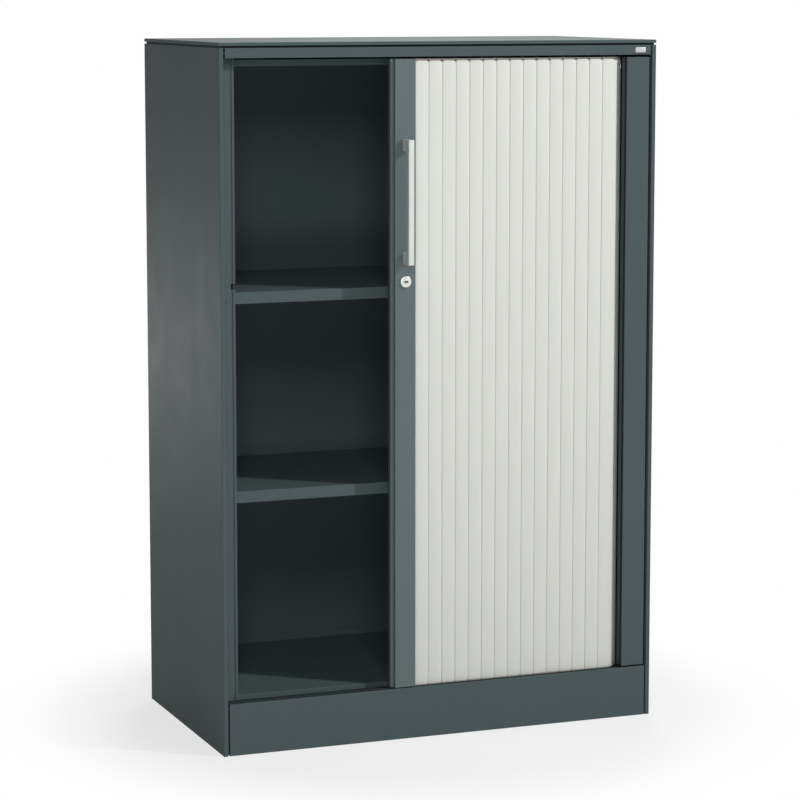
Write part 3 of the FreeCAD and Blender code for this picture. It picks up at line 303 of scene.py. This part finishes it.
def powder_coat(colour):
    """Fine orange peel, slight clouds in the colour, and duller patches where hands and dust have been."""

    def make(place):
        clouds = place.noise(3.2, 3.0)
        patches = place.noise(14.0, 4.0, 0.6)
        peel = place.noise(900.0, 2.0)
        grain = place.noise(2600.0, 1.0)
        shade = (clouds * 0.7 + patches * 0.3).band(0.3, 0.7)
        speck = grain.band(0.2, 0.8)
        tint = speck.blend(opaque(colour, 0.965), opaque(colour, 1.035))
        worn = (shade * 0.35).blend(tint, opaque(colour, 0.93))
        return {
            "Base Color": worn,
            "Roughness": 0.46 + patches * 0.1 + speck * 0.03,
            "Specular IOR Level": 0.04,
            "Normal": (peel * 0.7 + grain * 0.3).bump(0.00012, 0.55),
        }

    return make


def plinth_shade_paint(colour):
    """Powder coat with painted shade on top of the plinth behind its front edge, where the curtain runs; the
    shaded part is also made duller.
    """

    def make(place):
        values = powder_coat(colour)(place)
        top = place.part(2).above(PLINTH_TOP - 0.4 * MM)
        behind = place.part(1).band(FRONT_PLANE + 0.6 * MM, FRONT_PLANE + 1.8 * MM)
        # Painted shade: the plinth's top behind the front edge is darkened to a quarter of the paint, with a
        # little noise.
        painted_shade = top * behind * (0.8 + place.noise(60.0, 3.0) * 0.2)
        values["Base Color"] = painted_shade.blend(values["Base Color"], opaque(colour, 0.25))
        values["Roughness"] = values["Roughness"] + painted_shade * 0.2
        return values

    return make


def joint_shade_paint(colour):
    """Powder coat with painted shade: dark in the joint under the cover's rim, where no light comes."""

    def make(place):
        values = powder_coat(colour)(place)
        rim = place.part(2).above(COVER_BOTTOM - 0.1 * MM)
        # Painted shade in the joint under the rim.
        values["Base Color"] = rim.blend(opaque(colour, 0.12), values["Base Color"])
        return values

    return make


def extruded_plastic(colour):
    """Semi-matt plastic with fine lines along the extrusion and a faint drift of tone from slat to slat."""

    def make(place):
        lines = place.stretched((1.0, 0.012, 1.0)).noise(2400.0, 3.0, 0.6)
        broad = place.stretched((1.0, 0.03, 1.0)).noise(260.0, 2.0)
        cloud = place.noise(5.0, 2.0)
        tone = (lines * 0.45 + broad * 0.3 + cloud * 0.25).band(0.25, 0.75)
        warm = (colour[0] * 0.97, colour[1] * 0.962, colour[2] * 0.945)
        return {
            "Base Color": tone.blend(opaque(warm), opaque(colour, 1.015)),
            "Roughness": 0.44 + lines * 0.12,
            "Specular IOR Level": 0.4,
            "Normal": (lines * 0.7 + broad * 0.3).bump(0.00006, 0.6),
        }

    return make


def nylon(colour):
    """Moulded nylon: slightly cloudy, with a fine matt skin."""

    def make(place):
        cloud = place.noise(120.0, 3.0)
        skin = place.noise(3200.0, 2.0)
        return {
            "Base Color": cloud.blend(opaque(colour, 0.88), opaque(colour, 1.1)),
            "Roughness": 0.5 + skin * 0.14,
            "Normal": skin.bump(0.00005, 0.5),
        }

    return make


def brushed_nickel(colour):
    """Satin nickel on a cast bow: hair lines along the grip and a faint cloud of polish."""

    def make(place):
        lines = place.stretched((1.0, 1.0, 0.02)).noise(5200.0, 3.0, 0.65)
        cloud = place.noise(45.0, 3.0)
        tone = (lines * 0.6 + cloud * 0.4).band(0.25, 0.75)
        return {
            "Base Color": tone.blend(opaque(colour, 0.93), opaque(colour, 1.04)),
            "Metallic": 0.12,
            "Roughness": 0.34 + lines * 0.14 + cloud * 0.05,
            "Normal": lines.bump(0.00003, 0.5),
        }

    return make


def bright_nickel(colour):
    """Polished plate with faint turning marks and light wear."""

    def make(place):
        haze = place.noise(300.0, 3.0)
        scratch = place.stretched((0.15, 1.0, 1.0)).noise(5200.0, 2.0)
        return {
            "Base Color": haze.blend(opaque(colour, 0.92), opaque(colour, 1.06)),
            "Metallic": 0.8,
            "Roughness": 0.2 + haze * 0.1 + scratch * 0.08,
            "Normal": scratch.bump(0.00002, 0.4),
        }

    return make


def zinc_plate(place):
    """Dull zinc with a broken spangle."""
    spangle = place.cells(420.0)
    haze = place.noise(700.0, 3.0)
    tone = spangle * 0.6 + haze * 0.4
    return {
        "Base Color": tone.blend((0.40, 0.41, 0.42, 1.0), (0.60, 0.61, 0.62, 1.0)),
        "Metallic": 0.85,
        "Roughness": 0.38 + tone * 0.2,
        "Normal": haze.bump(0.00004, 0.4),
    }


def black_rubber(place):
    """Matt rubber with a pale bloom in patches."""
    bloom = place.noise(160.0, 3.0).band(0.45, 0.8)
    skin = place.noise(2800.0, 2.0)
    return {
        "Base Color": bloom.blend((0.008, 0.009, 0.009, 1.0), (0.016, 0.017, 0.017, 1.0)),
        "Roughness": 0.72 + bloom * 0.15,
        "Specular IOR Level": 0.2,
        "Normal": skin.bump(0.00006, 0.5),
    }


def black_moulding_and_keyway_shade(place):
    """Black moulded plastic with a fine spark-eroded grain, for the feet; on the lock's keyway it stands in
    as painted shade.
    """
    grain = place.noise(1800.0, 2.0)
    cloud = place.noise(80.0, 2.0)
    return {
        "Base Color": cloud.blend((0.016, 0.016, 0.017, 1.0), (0.028, 0.028, 0.029, 1.0)),
        "Roughness": 0.5 + grain * 0.16,
        "Normal": grain.bump(0.0001, 0.6),
    }


def satin_plate(place):
    """Anodised aluminium, brushed from side to side."""
    lines = place.stretched((0.02, 1.0, 1.0)).noise(5200.0, 3.0)
    return {
        "Base Color": lines.blend((0.46, 0.47, 0.47, 1.0), (0.58, 0.59, 0.59, 1.0)),
        "Metallic": 0.6,
        "Roughness": 0.3 + lines * 0.15,
        "Normal": lines.bump(0.00003, 0.5),
    }


def closed_skin(rings, tube=False):
    """Corners and faces of a skin over rings of equal count. Each ring is joined to the next, and both ends
    are covered, or joined to each other for a tube. The faces look outwards: the signed volume under them,
    the sum of a . (b x c) / 6 over their triangles, is positive."""
    rows, around = rings.shape[:2]
    corners = rings.reshape(-1, 3)
    first = np.arange(rows if tube else rows - 1)[:, None] * around
    second = (first + around) % (rows * around)
    here = np.arange(around)[None, :]
    there = (here + 1) % around
    quads = np.stack([first + here, first + there, second + there, second + here], axis=-1).reshape(-1, 4)
    ends = [] if tube else [np.arange(around)[::-1], np.arange(around) + (rows - 1) * around]
    fans = [quads[:, [0, 1, 2]], quads[:, [0, 2, 3]]]
    for end in ends:
        fans.append(np.stack([np.full(around - 2, end[0]), end[1:-1], end[2:]], axis=-1))
    a, b, c = np.moveaxis(corners[np.concatenate(fans)], 1, 0)
    volume = np.einsum("ij,ij->i", a, np.cross(b, c)).sum() / 6
    faces = [quads] + [end[None, :] for end in ends]
    if volume < 0:
        faces = [face[:, ::-1] for face in faces]
    return corners, [row for face in faces for row in face.tolist()]


def plate(outline, low, high, rounding, axes, rows=(), steps=4):
    """Rings of a closed outline carried from low to high. Near both ends the outline steps inwards by
    r (1 - sin a) while it climbs by r (1 - cos a), a quarter circle. axes says which coordinate the
    outline's two columns and the climb are."""
    after = np.roll(outline, -1, axis=0)
    before = np.roll(outline, 1, axis=0)
    along = after - before
    along = along / np.linalg.norm(along, axis=1)[:, None]
    area = np.sum(outline[:, 0] * after[:, 1] - after[:, 0] * outline[:, 1])
    outward = np.stack([along[:, 1], -along[:, 0]], axis=1) * math.copysign(1.0, area)
    turn = np.linspace(0.0, math.pi / 2, steps)
    inset = rounding * (1 - np.sin(turn))
    climb = rounding * (1 - np.cos(turn))
    insets = np.concatenate([inset, np.zeros(len(rows)), inset[::-1]])
    levels = np.concatenate([low + climb, np.asarray(rows, float), high - climb[::-1]])
    rings = np.zeros((len(levels), len(outline), 3))
    flat = outline[None] - outward[None] * insets[:, None, None]
    rings[..., axes[0]] = flat[..., 0]
    rings[..., axes[1]] = flat[..., 1]
    rings[..., axes[2]] = levels[:, None]
    return rings


def arc(centre, radius, start, end, count):
    """Points on a circle from one angle to another, in degrees."""
    angle = np.radians(np.linspace(start, end, count))
    return np.stack([centre[0] + radius * np.cos(angle), centre[1] + radius * np.sin(angle)], axis=1)


def rounded_box(x0, x1, y0, y1, radius, count=5):
    """A rectangle's outline with four corner arcs."""
    return np.concatenate([
        arc((x1 - radius, y1 - radius), radius, 0, 90, count),
        arc((x0 + radius, y1 - radius), radius, 90, 180, count),
        arc((x0 + radius, y0 + radius), radius, 180, 270, count),
        arc((x1 - radius, y0 + radius), radius, 270, 360, count),
    ])


def lathe(profile, centre, count=64):
    """Rings of a profile of radii and places along Y, turned about a line through the centre."""
    radii, places = np.asarray(profile, float).T
    angle = np.linspace(0.0, 2 * math.pi, count, endpoint=False)
    rings = np.zeros((len(radii), count, 3))
    rings[..., 0] = centre[0] + radii[:, None] * np.cos(angle)
    rings[..., 1] = places[:, None]
    rings[..., 2] = centre[1] + radii[:, None] * np.sin(angle)
    return rings


def build_piece(name, parts, finishes):
    """One mesh object from parts of (rings, number of the finish, UV or None, tube)."""
    corners, faces, numbers, places = [], [], [], []
    offset = 0
    for rings, number, uv, tube in parts:
        skin, shape = closed_skin(rings, tube)
        corners.append(skin)
        faces += [[corner + offset for corner in face] for face in shape]
        numbers += [number] * len(shape)
        places.append(skin[:, [0, 2]] if uv is None else uv.reshape(-1, 2))
        offset += len(skin)
    mesh = bpy.data.meshes.new(name)
    mesh.from_pydata(np.concatenate(corners), [], faces)
    mesh.polygons.foreach_set("material_index", np.array(numbers, np.int32))
    around = np.zeros(len(mesh.loops), np.int32)
    mesh.loops.foreach_get("vertex_index", around)
    layer = mesh.uv_layers.new(name="UVMap")
    layer.data.foreach_set("uv", np.concatenate(places)[around].astype(np.float32).ravel())
    mesh.polygons.foreach_set("use_smooth", np.ones(len(mesh.polygons), bool))
    mesh.set_sharp_from_angle(angle=math.radians(SHARP_ANGLE))
    for finish_name in finishes:
        mesh.materials.append(bpy.data.materials[finish_name])
    mesh.update()
    piece = bpy.data.objects.new(name, mesh)
    bpy.context.scene.collection.objects.link(piece)
    return piece


def slat_outline(sizes):
    """A slat's section from its left joint at zero: an arched front, y = crown (u^2 - 1) over the width, a
    rounded shoulder at each side, a nest for the next bead on the right, tapered flanks, and a bead round
    the joint on the left."""
    half = sizes.thickness / 2
    left = sizes.gap / 2
    right = sizes.pitch - left
    middle = sizes.pitch / 2
    span = middle - left
    r = sizes.shoulder
    tilt = math.degrees(math.atan(2 * sizes.crown / span))
    reach = span - r + r * math.sin(math.radians(tilt))
    u = np.linspace(-reach, reach, 17)
    crown = np.stack([middle + u, -half + sizes.crown * (u / span) ** 2], axis=1)
    drop = crown[0, 1] + r * math.cos(math.radians(tilt))
    right_shoulder = arc((right - r, drop), r, -90 + tilt, 0, 6)[1:]
    left_shoulder = arc((left + r, drop), r, 180, 270 - tilt, 6)[:-1]
    return np.concatenate([
        crown,
        right_shoulder,
        arc((sizes.pitch, 0), NEST_RADIUS, 253.4, 137.4, 8),
        [[right - 2 * MM, half], [left + 2 * MM, half]],
        arc((0, 0), BEAD_RADIUS, 38.7, 291.3, 12),
        left_shoulder,
    ])


def slat_parts(sizes, joint, following, shift=0.0, squeeze=1.0, trim=0.0):
    """A slat, its end pieces and its pins between two joints. Every point is joint + x t + y n, with t along
    the chord and n square to it. Near the head the half width is w - r + sqrt(r^2 - h^2). squeeze thins the
    section, and trim shortens it, for the slats that wait inside another."""
    low = PLINTH_TOP + sizes.foot_gap + trim
    high = RAIL_BOTTOM - sizes.head_gap - trim
    outline = slat_outline(sizes)
    outline[:, 1] = outline[:, 1] * squeeze + shift
    r = sizes.corner
    rows = [high - r] + list(high - r + r * np.sin(np.linspace(0.35, 1.25, 5)))
    body = plate(outline, low, high, SLAT_END_ROUNDING, (0, 1, 2), rows, 3)
    middle = sizes.pitch / 2
    span = middle - sizes.gap / 2
    over = np.clip(body[..., 2] - (high - r), 0.0, r)
    narrow = (span - r + np.sqrt(np.maximum(r * r - over * over, 0.0))) / span
    body[..., 0] = middle + (body[..., 0] - middle) * np.maximum(narrow, (span - r * 0.75) / span)
    head = RAIL_BOTTOM - HEAD_PIECE_GAP - trim
    foot = PLINTH_TOP + FOOT_PIECE_GAP + trim
    depth = END_PIECE_DEPTH * squeeze
    strip = rounded_box(END_PIECE_INSET, sizes.pitch - END_PIECE_INSET, shift - depth, shift + depth,
                        END_PIECE_ROUNDING, 3)
    circle = arc((0, shift), PIN_RADIUS, 0, 330, 12)
    ends = [
        (strip, high + END_PIECE_GAP, head, 0.35 * MM, 1),
        (strip, foot, low - END_PIECE_GAP, 0.3 * MM, 1),
    ]
    if not trim:
        ends.append((circle, high + PIN_START, RAIL_BOTTOM + PIN_REACH, 0.3 * MM, 2))
        ends.append((circle, PLINTH_TOP - PIN_REACH, low - PIN_START, 0.3 * MM, 2))
    solids = [(body, 0)]
    for section, start, stop, rounding, number in ends:
        solids.append((plate(section, start, stop, rounding, (0, 1, 2), steps=3), number))
    chord = (np.asarray(following) - joint) / sizes.pitch
    square = np.array([-chord[1], chord[0]])
    parts = []
    for rings, number in solids:
        placed = rings.copy()
        for axis in (0, 1):
            placed[..., axis] = joint[axis] + rings[..., 0] * chord[axis] + rings[..., 1] * square[axis]
        uv = np.stack([rings[..., 0] + joint[0] + joint[1], rings[..., 2]], axis=-1)
        parts.append((placed, number, uv, False))
    return parts


def curtain_joints(sizes, count):
    """Joints on the path, each one pitch from the last as the crow flies: the straight front, a quarter
    circle of points centre + R (sin a, 1 - cos a), and the straight side run."""
    straight = CORNER_START_X - CURTAIN_START
    quarter = CORNER_RADIUS * math.pi / 2
    along = np.linspace(0.0, count * sizes.pitch * 1.1, 60000)
    turn = np.clip((along - straight) / CORNER_RADIUS, 0.0, math.pi / 2)
    x = np.where(along < straight, CURTAIN_START + along, CORNER_START_X + CORNER_RADIUS * np.sin(turn))
    beyond = np.maximum(along - straight - quarter, 0.0)
    path = np.stack([x, TRACK_Y + CORNER_RADIUS * (1 - np.cos(turn)) + beyond], axis=1)
    joints = [path[0]]
    place = 0
    for _ in range(count):
        far = np.linalg.norm(path[place:] - path[place], axis=1)
        place += int(np.argmax(far >= sizes.pitch))
        joints.append(path[place])
    return np.array(joints)


def unsmooth(share):
    """The t for which t^2 (3 - 2 t) is the share: 1/2 - sin(asin(1 - 2 share) / 3)."""
    return 0.5 - np.sin(np.arcsin(1 - 2 * share) / 3)


def opened_share(x):
    """How much of the opening travel a place on the curtain has, so that the curtain ends up bunched evenly
    behind the post."""
    run = (x - CURTAIN_START) / (LAST_JOINT_X - CURTAIN_START)
    opened = OPENED_FIRST_X + (OPENED_LAST_X - OPENED_FIRST_X) * run
    return min(1.0, (opened - x) / OPEN_TRAVEL)


class CABINET_OT_finishes(bpy.types.Operator):
    """Make the finishes and give them to the frame's sub-parts"""

    bl_idname = "cabinet.finishes"
    bl_label = "Finishes"

    def execute(self, context):
        colours = context.scene.cabinet_colours
        makers = {
            "paint": powder_coat(colours.paint),
            "bar_paint": powder_coat(colours.bar),
            "plinth_painted_shade": plinth_shade_paint(colours.paint),
            "cover_painted_shade": joint_shade_paint(colours.paint),
            "slat_plastic": extruded_plastic(colours.slat),
            # The end pieces' nylon is painted shade: a darker copy of the slat tone.
            "end_nylon_painted_shade": nylon(colours.end_piece_painted_shade),
            "black_nylon": nylon((0.02, 0.022, 0.023)),
            "satin_nickel": brushed_nickel(colours.nickel),
            "bright_nickel": bright_nickel(colours.nickel),
            "zinc_plate": zinc_plate,
            "black_rubber": black_rubber,
            "black_moulding_and_keyway_shade": black_moulding_and_keyway_shade,
            "satin_plate": satin_plate,
        }
        for name, make in makers.items():
            finish(name, make, uv=name == "slat_plastic")
        by_slot = {
            "anthracite_paint": "paint",
            "bar_paint": "bar_paint",
            "slat_plastic": "slat_plastic",
            "guide_plastic": "black_nylon",
            "handle_metal": "satin_nickel",
            "lock_nickel": "bright_nickel",
            "zinc_steel": "zinc_plate",
            "seal_rubber": "black_rubber",
            "foot_plastic": "black_moulding_and_keyway_shade",
            "blank_plate": "satin_plate",
        }
        special = {"plinth_front": "plinth_painted_shade", "top_cover": "cover_painted_shade"}
        for part in frame["record"]["subparts"]:
            name = special.get(part["node"], by_slot[part["material_slot"]])
            for slot in frame["nodes"][part["node"]].material_slots:
                slot.material = bpy.data.materials[name]
        return {"FINISHED"}


class CABINET_OT_front_slats(bpy.types.Operator):
    """Build the front slats; how far each would travel to bunch up behind the post on opening is worked out
    but not used
    """

    bl_idname = "cabinet.front_slats"
    bl_label = "Front slats"

    def execute(self, context):
        sizes = context.scene.cabinet_curtain
        joints = curtain_joints(sizes, FRONT_SLATS)
        for i in range(FRONT_SLATS):
            parts = slat_parts(sizes, joints[i], joints[i + 1])
            name = "front_slat_%02d" % (i + 1)
            piece = build_piece(name, parts, SLAT_MATERIALS)
            left, right = joints[i][0], joints[i + 1][0]
            t_left = unsmooth(opened_share(left))
            t_right = unsmooth(opened_share(right))
            length = (left - right) / (t_left - t_right)
            start = right - t_right * length
            start + length
            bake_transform(piece)
            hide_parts("slat_%02d" % (i + 1), "slat_head_gliders", "slat_foot_gliders")
        return {"FINISHED"}


class CABINET_OT_feed_slats(bpy.types.Operator):
    """Build the slats that come out of the corner when the curtain closes"""

    bl_idname = "cabinet.feed_slats"
    bl_label = "Feed slats"

    def execute(self, context):
        sizes = context.scene.cabinet_curtain
        share = np.linspace(0.0, 1.0, 2001)
        rest = FEED_OUTER_X + (FEED_INNER_X - FEED_OUTER_X) * unsmooth(share)
        closed = rest - CLOSE_TRAVEL * share
        step = (closed.max() - closed.min()) / FEED_SLATS
        last_joint = CURTAIN_START + (FRONT_SLATS - 1) * sizes.pitch
        parts = []
        for i in range(FEED_SLATS):
            joint = np.array([closed.min() + i * step, TRACK_Y])
            following = joint + np.array([step, 0.0])
            for part in slat_parts(sizes, joint, following, FEED_SHIFT, FEED_SQUEEZE, FEED_TRIM):
                rings = part[0]
                gathered = np.interp(rings[..., 0], closed[::-1], rest[::-1])
                rings[..., 1] += (gathered - last_joint) * LAST_SLAT_SLOPE
                rings[..., 0] = gathered
                parts.append(part)
        piece = build_piece("feed_slats", parts, SLAT_MATERIALS)
        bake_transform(piece)
        return {"FINISHED"}


class CABINET_OT_stored_slats(bpy.types.Operator):
    """Build the slat in the corner and the slats stored along the side"""

    bl_idname = "cabinet.stored_slats"
    bl_label = "Stored slats"

    def execute(self, context):
        sizes = context.scene.cabinet_curtain
        joints = curtain_joints(sizes, FRONT_SLATS + STORED_SLATS)
        turning = slat_parts(sizes, joints[FRONT_SLATS], joints[FRONT_SLATS + 1])
        corner = build_piece("corner_slat", turning, SLAT_MATERIALS)
        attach(corner, "cabinet")
        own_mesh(corner)
        parts = []
        for i in range(FRONT_SLATS + 1, FRONT_SLATS + STORED_SLATS):
            parts += slat_parts(sizes, joints[i], joints[i + 1])
        run = build_piece("side_run_slats", parts, SLAT_MATERIALS)
        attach(run, "cabinet")
        for piece in (corner, run):
            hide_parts("stored_slats", "stored_gliders")
        return {"FINISHED"}


class CABINET_OT_handle(bpy.types.Operator):
    """Build the bow handle"""

    bl_idname = "cabinet.handle"
    bl_label = "Handle"

    def execute(self, context):
        sizes = context.scene.cabinet_fittings
        front, back = HANDLE_LOW.y, HANDLE_HIGH.y
        low, high = HANDLE_LOW.z, HANDLE_HIGH.z
        r = sizes.edge
        f = sizes.fillet
        inner = front + sizes.grip
        outline = np.concatenate([
            [[back, low], [back, low + sizes.foot]],
            arc((inner + f, low + sizes.foot + f), f, 270, 180, 9),
            arc((inner + f, high - sizes.foot - f), f, 180, 90, 9),
            [[back, high - sizes.foot], [back, high]],
            arc((front + r, high - r), r, 90, 180, 6),
            arc((front + r, low + r), r, 180, 270, 6),
        ])
        bow = plate(outline, HANDLE_LOW.x, HANDLE_HIGH.x, r, (1, 2, 0), steps=5)
        piece = build_piece("bow_handle", [(bow, 0, None, False)], ("satin_nickel",))
        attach(piece, "lead_bar")
        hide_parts("handle")
        return {"FINISHED"}


class CABINET_OT_lock(bpy.types.Operator):
    """Build the lock's collar and the plug with its level keyway"""

    bl_idname = "cabinet.lock"
    bl_label = "Lock"

    def execute(self, context):
        sizes = context.scene.cabinet_fittings
        centre = ((LOCK_LOW.x + LOCK_HIGH.x) / 2, (LOCK_LOW.z + LOCK_HIGH.z) / 2)
        radius = (LOCK_HIGH.x - LOCK_LOW.x) / 2
        face = LOCK_LOW.y
        back = LOCK_HIGH.y
        turn = np.radians(np.linspace(0, 90, 7))
        shank = [(COLLAR_SHANK, back), (COLLAR_SHANK, FRONT_PLANE), (radius, FRONT_PLANE)]
        rim = [(radius - COLLAR_RIM + COLLAR_RIM * math.cos(a), face + COLLAR_RIM - COLLAR_RIM * math.sin(a))
               for a in turn]
        dish = [(7.1 * MM, face), (6.7 * MM, face + 0.25 * MM), (6.2 * MM, face + 0.25 * MM)]
        mouth = [(COLLAR_BORE + 0.25 * MM, face + 0.3 * MM), (COLLAR_BORE, face + 0.6 * MM),
                 (COLLAR_BORE, back)]
        rings = lathe(shank + rim + dish + mouth, centre)
        collar = build_piece("lock_collar", [(rings, 0, None, True)], ("bright_nickel",))
        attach(collar, "lead_bar")
        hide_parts("lock_housing")

        count = 64
        angle = np.linspace(0.0, 2 * math.pi, count, endpoint=False)
        circle = np.stack([np.cos(angle), np.sin(angle)], axis=1)
        across = np.abs(circle / np.array([sizes.keyway / 2, sizes.keyway_width / 2]))
        slot = circle * (np.sum(across ** KEYWAY_POWER, axis=1) ** (-1 / KEYWAY_POWER))[:, None]
        slot[:, 1] += KEYWAY_LIFT - KEYWAY_SLANT * np.abs(slot[:, 0])
        front = face - 0.3 * MM
        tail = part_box("lock_plug")[1].y
        steps = [
            (slot, front + KEYWAY_DEPTH),
            (slot, front + 0.35 * MM),
            (slot * 1.12, front),
            (slot * 0.5 + circle * PLUG_RADIUS * 0.5, front),
            (circle * (PLUG_RADIUS - 0.5 * MM), front),
            (circle * (PLUG_RADIUS - 0.15 * MM), front + 0.12 * MM),
            (circle * PLUG_RADIUS, front + 0.45 * MM),
            (circle * PLUG_RADIUS, back),
            (circle * PLUG_TAIL_RADIUS, back),
            (circle * PLUG_TAIL_RADIUS, tail),
        ]
        rings = np.zeros((len(steps), count, 3))
        for ring, (outline, y) in zip(rings, steps):
            ring[:, 0] = centre[0] + outline[:, 0]
            ring[:, 1] = y
            ring[:, 2] = centre[1] + outline[:, 1]
        piece = build_piece("lock_plug_face", [(rings, 0, None, False)], ("bright_nickel", "black_moulding_and_keyway_shade"))
        # The first ring of faces is the keyway's wall, and the last face but one is its bottom: both get the
        # black finish as painted shade in the keyway.
        numbers = np.zeros(len(piece.data.polygons), np.int32)
        numbers[:count] = 1
        numbers[-2] = 1
        piece.data.polygons.foreach_set("material_index", numbers)
        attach(piece, "lock_core")
        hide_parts("lock_plug")
        return {"FINISHED"}


class CABINET_OT_blank_plate(bpy.types.Operator):
    """Build the blank plate at the right end of the rail"""

    bl_idname = "cabinet.blank_plate"
    bl_label = "Blank plate"

    def execute(self, context):
        outline = rounded_box(BADGE_LOW.x, BADGE_HIGH.x, BADGE_LOW.z, BADGE_HIGH.z, 2.2 * MM, 8)
        rings = plate(outline, BADGE_LOW.y, BADGE_HIGH.y, 0.35 * MM, (0, 2, 1))
        piece = build_piece("badge_blank", [(rings, 0, None, False)], ("satin_plate",))
        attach(piece, "cabinet")
        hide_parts("badge_plate")
        return {"FINISHED"}


def lamp(name, place, aim, power, size, tall=None):
    """A rectangular lamp that looks at a point and that the camera doesn't see."""
    data = bpy.data.lights.new(name, "AREA")
    data.energy = power
    data.shape = "RECTANGLE"
    data.size = size
    data.size_y = tall or size
    light = bpy.data.objects.new(name, data)
    light.location = place
    light.rotation_euler = (Vector(aim) - Vector(place)).to_track_quat("-Z", "Y").to_euler()
    light.visible_camera = False
    bpy.context.scene.collection.objects.link(light)


def seen_directly(start):
    """1 for rays from the camera, from gloss and through glass, which show the pale background."""
    path = start.add("LightPath", {}, {}, "Is Camera Ray")
    outputs = path.output.node.outputs
    glossy = Socket(start.tree, outputs["Is Glossy Ray"])
    through = Socket(start.tree, outputs["Is Transmission Ray"])
    return path.maths("MAXIMUM", path.maths("MAXIMUM", path, glossy), through)


class CABINET_OT_studio(bpy.types.Operator):
    """Set up the floor, the surroundings, the lamps and the camera"""

    bl_idname = "cabinet.studio"
    bl_label = "Studio"

    def execute(self, context):
        scene = context.scene
        settings = scene.cabinet_studio
        scene.view_settings.view_transform = "Standard"

        world = bpy.data.worlds.new("studio")
        world.use_nodes = True
        world.node_tree.nodes.clear()
        sky = Socket(world.node_tree)
        strength = seen_directly(sky) * (1.0 - settings.ambient) + settings.ambient
        sky.add("Background", {}, {"Color": (1.0, 1.0, 1.0, 1.0), "Strength": strength}).shown(
            "ShaderNodeOutputWorld")
        scene.world = world

        side = np.linspace(-1.0, 1.0, 33)
        reach = 700.0
        x, y = np.meshgrid(side ** 5 * reach, side ** 5 * reach)
        corners = np.stack([x, y, np.zeros_like(x)], axis=-1).reshape(-1, 3)
        count = len(side)
        low = (np.arange(count - 1)[:, None] * count + np.arange(count - 1)[None, :]).ravel()
        quads = np.stack([low, low + 1, low + count + 1, low + count], axis=-1)
        mesh = bpy.data.meshes.new("studio_floor")
        mesh.from_pydata(corners, [], quads.tolist())
        floor = bpy.data.objects.new("studio_floor", mesh)
        scene.collection.objects.link(floor)

        material = bpy.data.materials.new("studio_floor")
        material.use_nodes = True
        tree = material.node_tree
        tree.nodes.clear()
        place = Socket(tree).add("TexCoord", {}, {}, "Object")
        grain = place.noise(40.0, 3.0)
        board = place.add("BsdfPrincipled", {}, {
            "Base Color": grain.blend((0.80, 0.80, 0.80, 1.0), (0.84, 0.84, 0.84, 1.0)),
            "Roughness": 0.8, "Specular IOR Level": 0.1})
        white = place.add("Emission", {}, {"Color": (1.0, 1.0, 1.0, 1.0), "Strength": 1.0})
        away = place.add("VectorMath", {"operation": "LENGTH"}, {0: place}, "Value")
        fade = 0.7 + 0.3 * away.band(0.42, 0.75)
        shares = {0: seen_directly(place) * fade, 1: board, 2: white}
        place.add("MixShader", {}, shares).shown("ShaderNodeOutputMaterial")
        mesh.materials.append(material)

        lamp("key_lamp", (3.0, -2.75, 3.25), (0.0, 0.0, 0.6), settings.key, 0.25)
        lamp("low_softbox", (-0.8, -1.9, 0.45), (-0.2, 0.0, 0.5), settings.low, 0.6, 0.3)
        lamp("high_softbox", (-1.0, -2.6, 2.2), (-0.2, 0.0, 0.5), settings.high, 0.9)
        lamp("side_lamp", (-1.3, 2.9, 0.3), (-0.4, 0.0, 0.6), settings.side, 0.5, 0.2)
        lamp("rear_lamp", (1.6, 3.4, 3.6), (0.0, 0.2, 0.6), settings.rear, 1.4)

        data = bpy.data.cameras.new("camera")
        data.sensor_width = 36.0
        data.lens = CAMERA_LENS
        data.shift_y = CAMERA_SHIFT
        data.clip_end = 3000.0
        camera = bpy.data.objects.new("camera", data)
        camera.location = CAMERA_PLACE
        camera.rotation_euler = Euler((math.radians(CAMERA_PITCH), 0.0, math.radians(CAMERA_HEADING)))
        scene.collection.objects.link(camera)
        scene.camera = camera
        return {"FINISHED"}


class CABINET_PT_panel(bpy.types.Panel):
    """Buttons for every piece of the cabinet"""

    bl_idname = "CABINET_PT_panel"
    bl_label = "Roll front cabinet"
    bl_space_type = "VIEW_3D"
    bl_region_type = "UI"
    bl_category = "Cabinet"

    def draw(self, context):
        for operator in OPERATORS:
            self.layout.operator(operator.bl_idname)


OPERATORS = (
    CABINET_OT_finishes,
    CABINET_OT_front_slats,
    CABINET_OT_feed_slats,
    CABINET_OT_stored_slats,
    CABINET_OT_handle,
    CABINET_OT_lock,
    CABINET_OT_blank_plate,
    CABINET_OT_studio,
)
GROUPS = {
    "cabinet_curtain": CurtainSizes,
    "cabinet_fittings": FittingSizes,
    "cabinet_colours": FinishColours,
    "cabinet_studio": StudioSettings,
}


def register():
    for group in GROUPS.values():
        bpy.utils.register_class(group)
    for name, group in GROUPS.items():
        setattr(bpy.types.Scene, name, bpy.props.PointerProperty(type=group))
    for operator in OPERATORS:
        bpy.utils.register_class(operator)
    bpy.utils.register_class(CABINET_PT_panel)


def unregister():
    bpy.utils.unregister_class(CABINET_PT_panel)
    for operator in reversed(OPERATORS):
        bpy.utils.unregister_class(operator)
    for name in GROUPS:
        delattr(bpy.types.Scene, name)
    for group in reversed(GROUPS.values()):
        bpy.utils.unregister_class(group)


def main():
    """Builds every piece."""
    register()
    bpy.ops.cabinet.finishes()
    bpy.ops.cabinet.front_slats()
    bpy.ops.cabinet.feed_slats()
    bpy.ops.cabinet.stored_slats()
    bpy.ops.cabinet.handle()
    bpy.ops.cabinet.lock()
    bpy.ops.cabinet.blank_plate()
    bpy.ops.cabinet.studio()


if __name__ == "__main__":
    main()
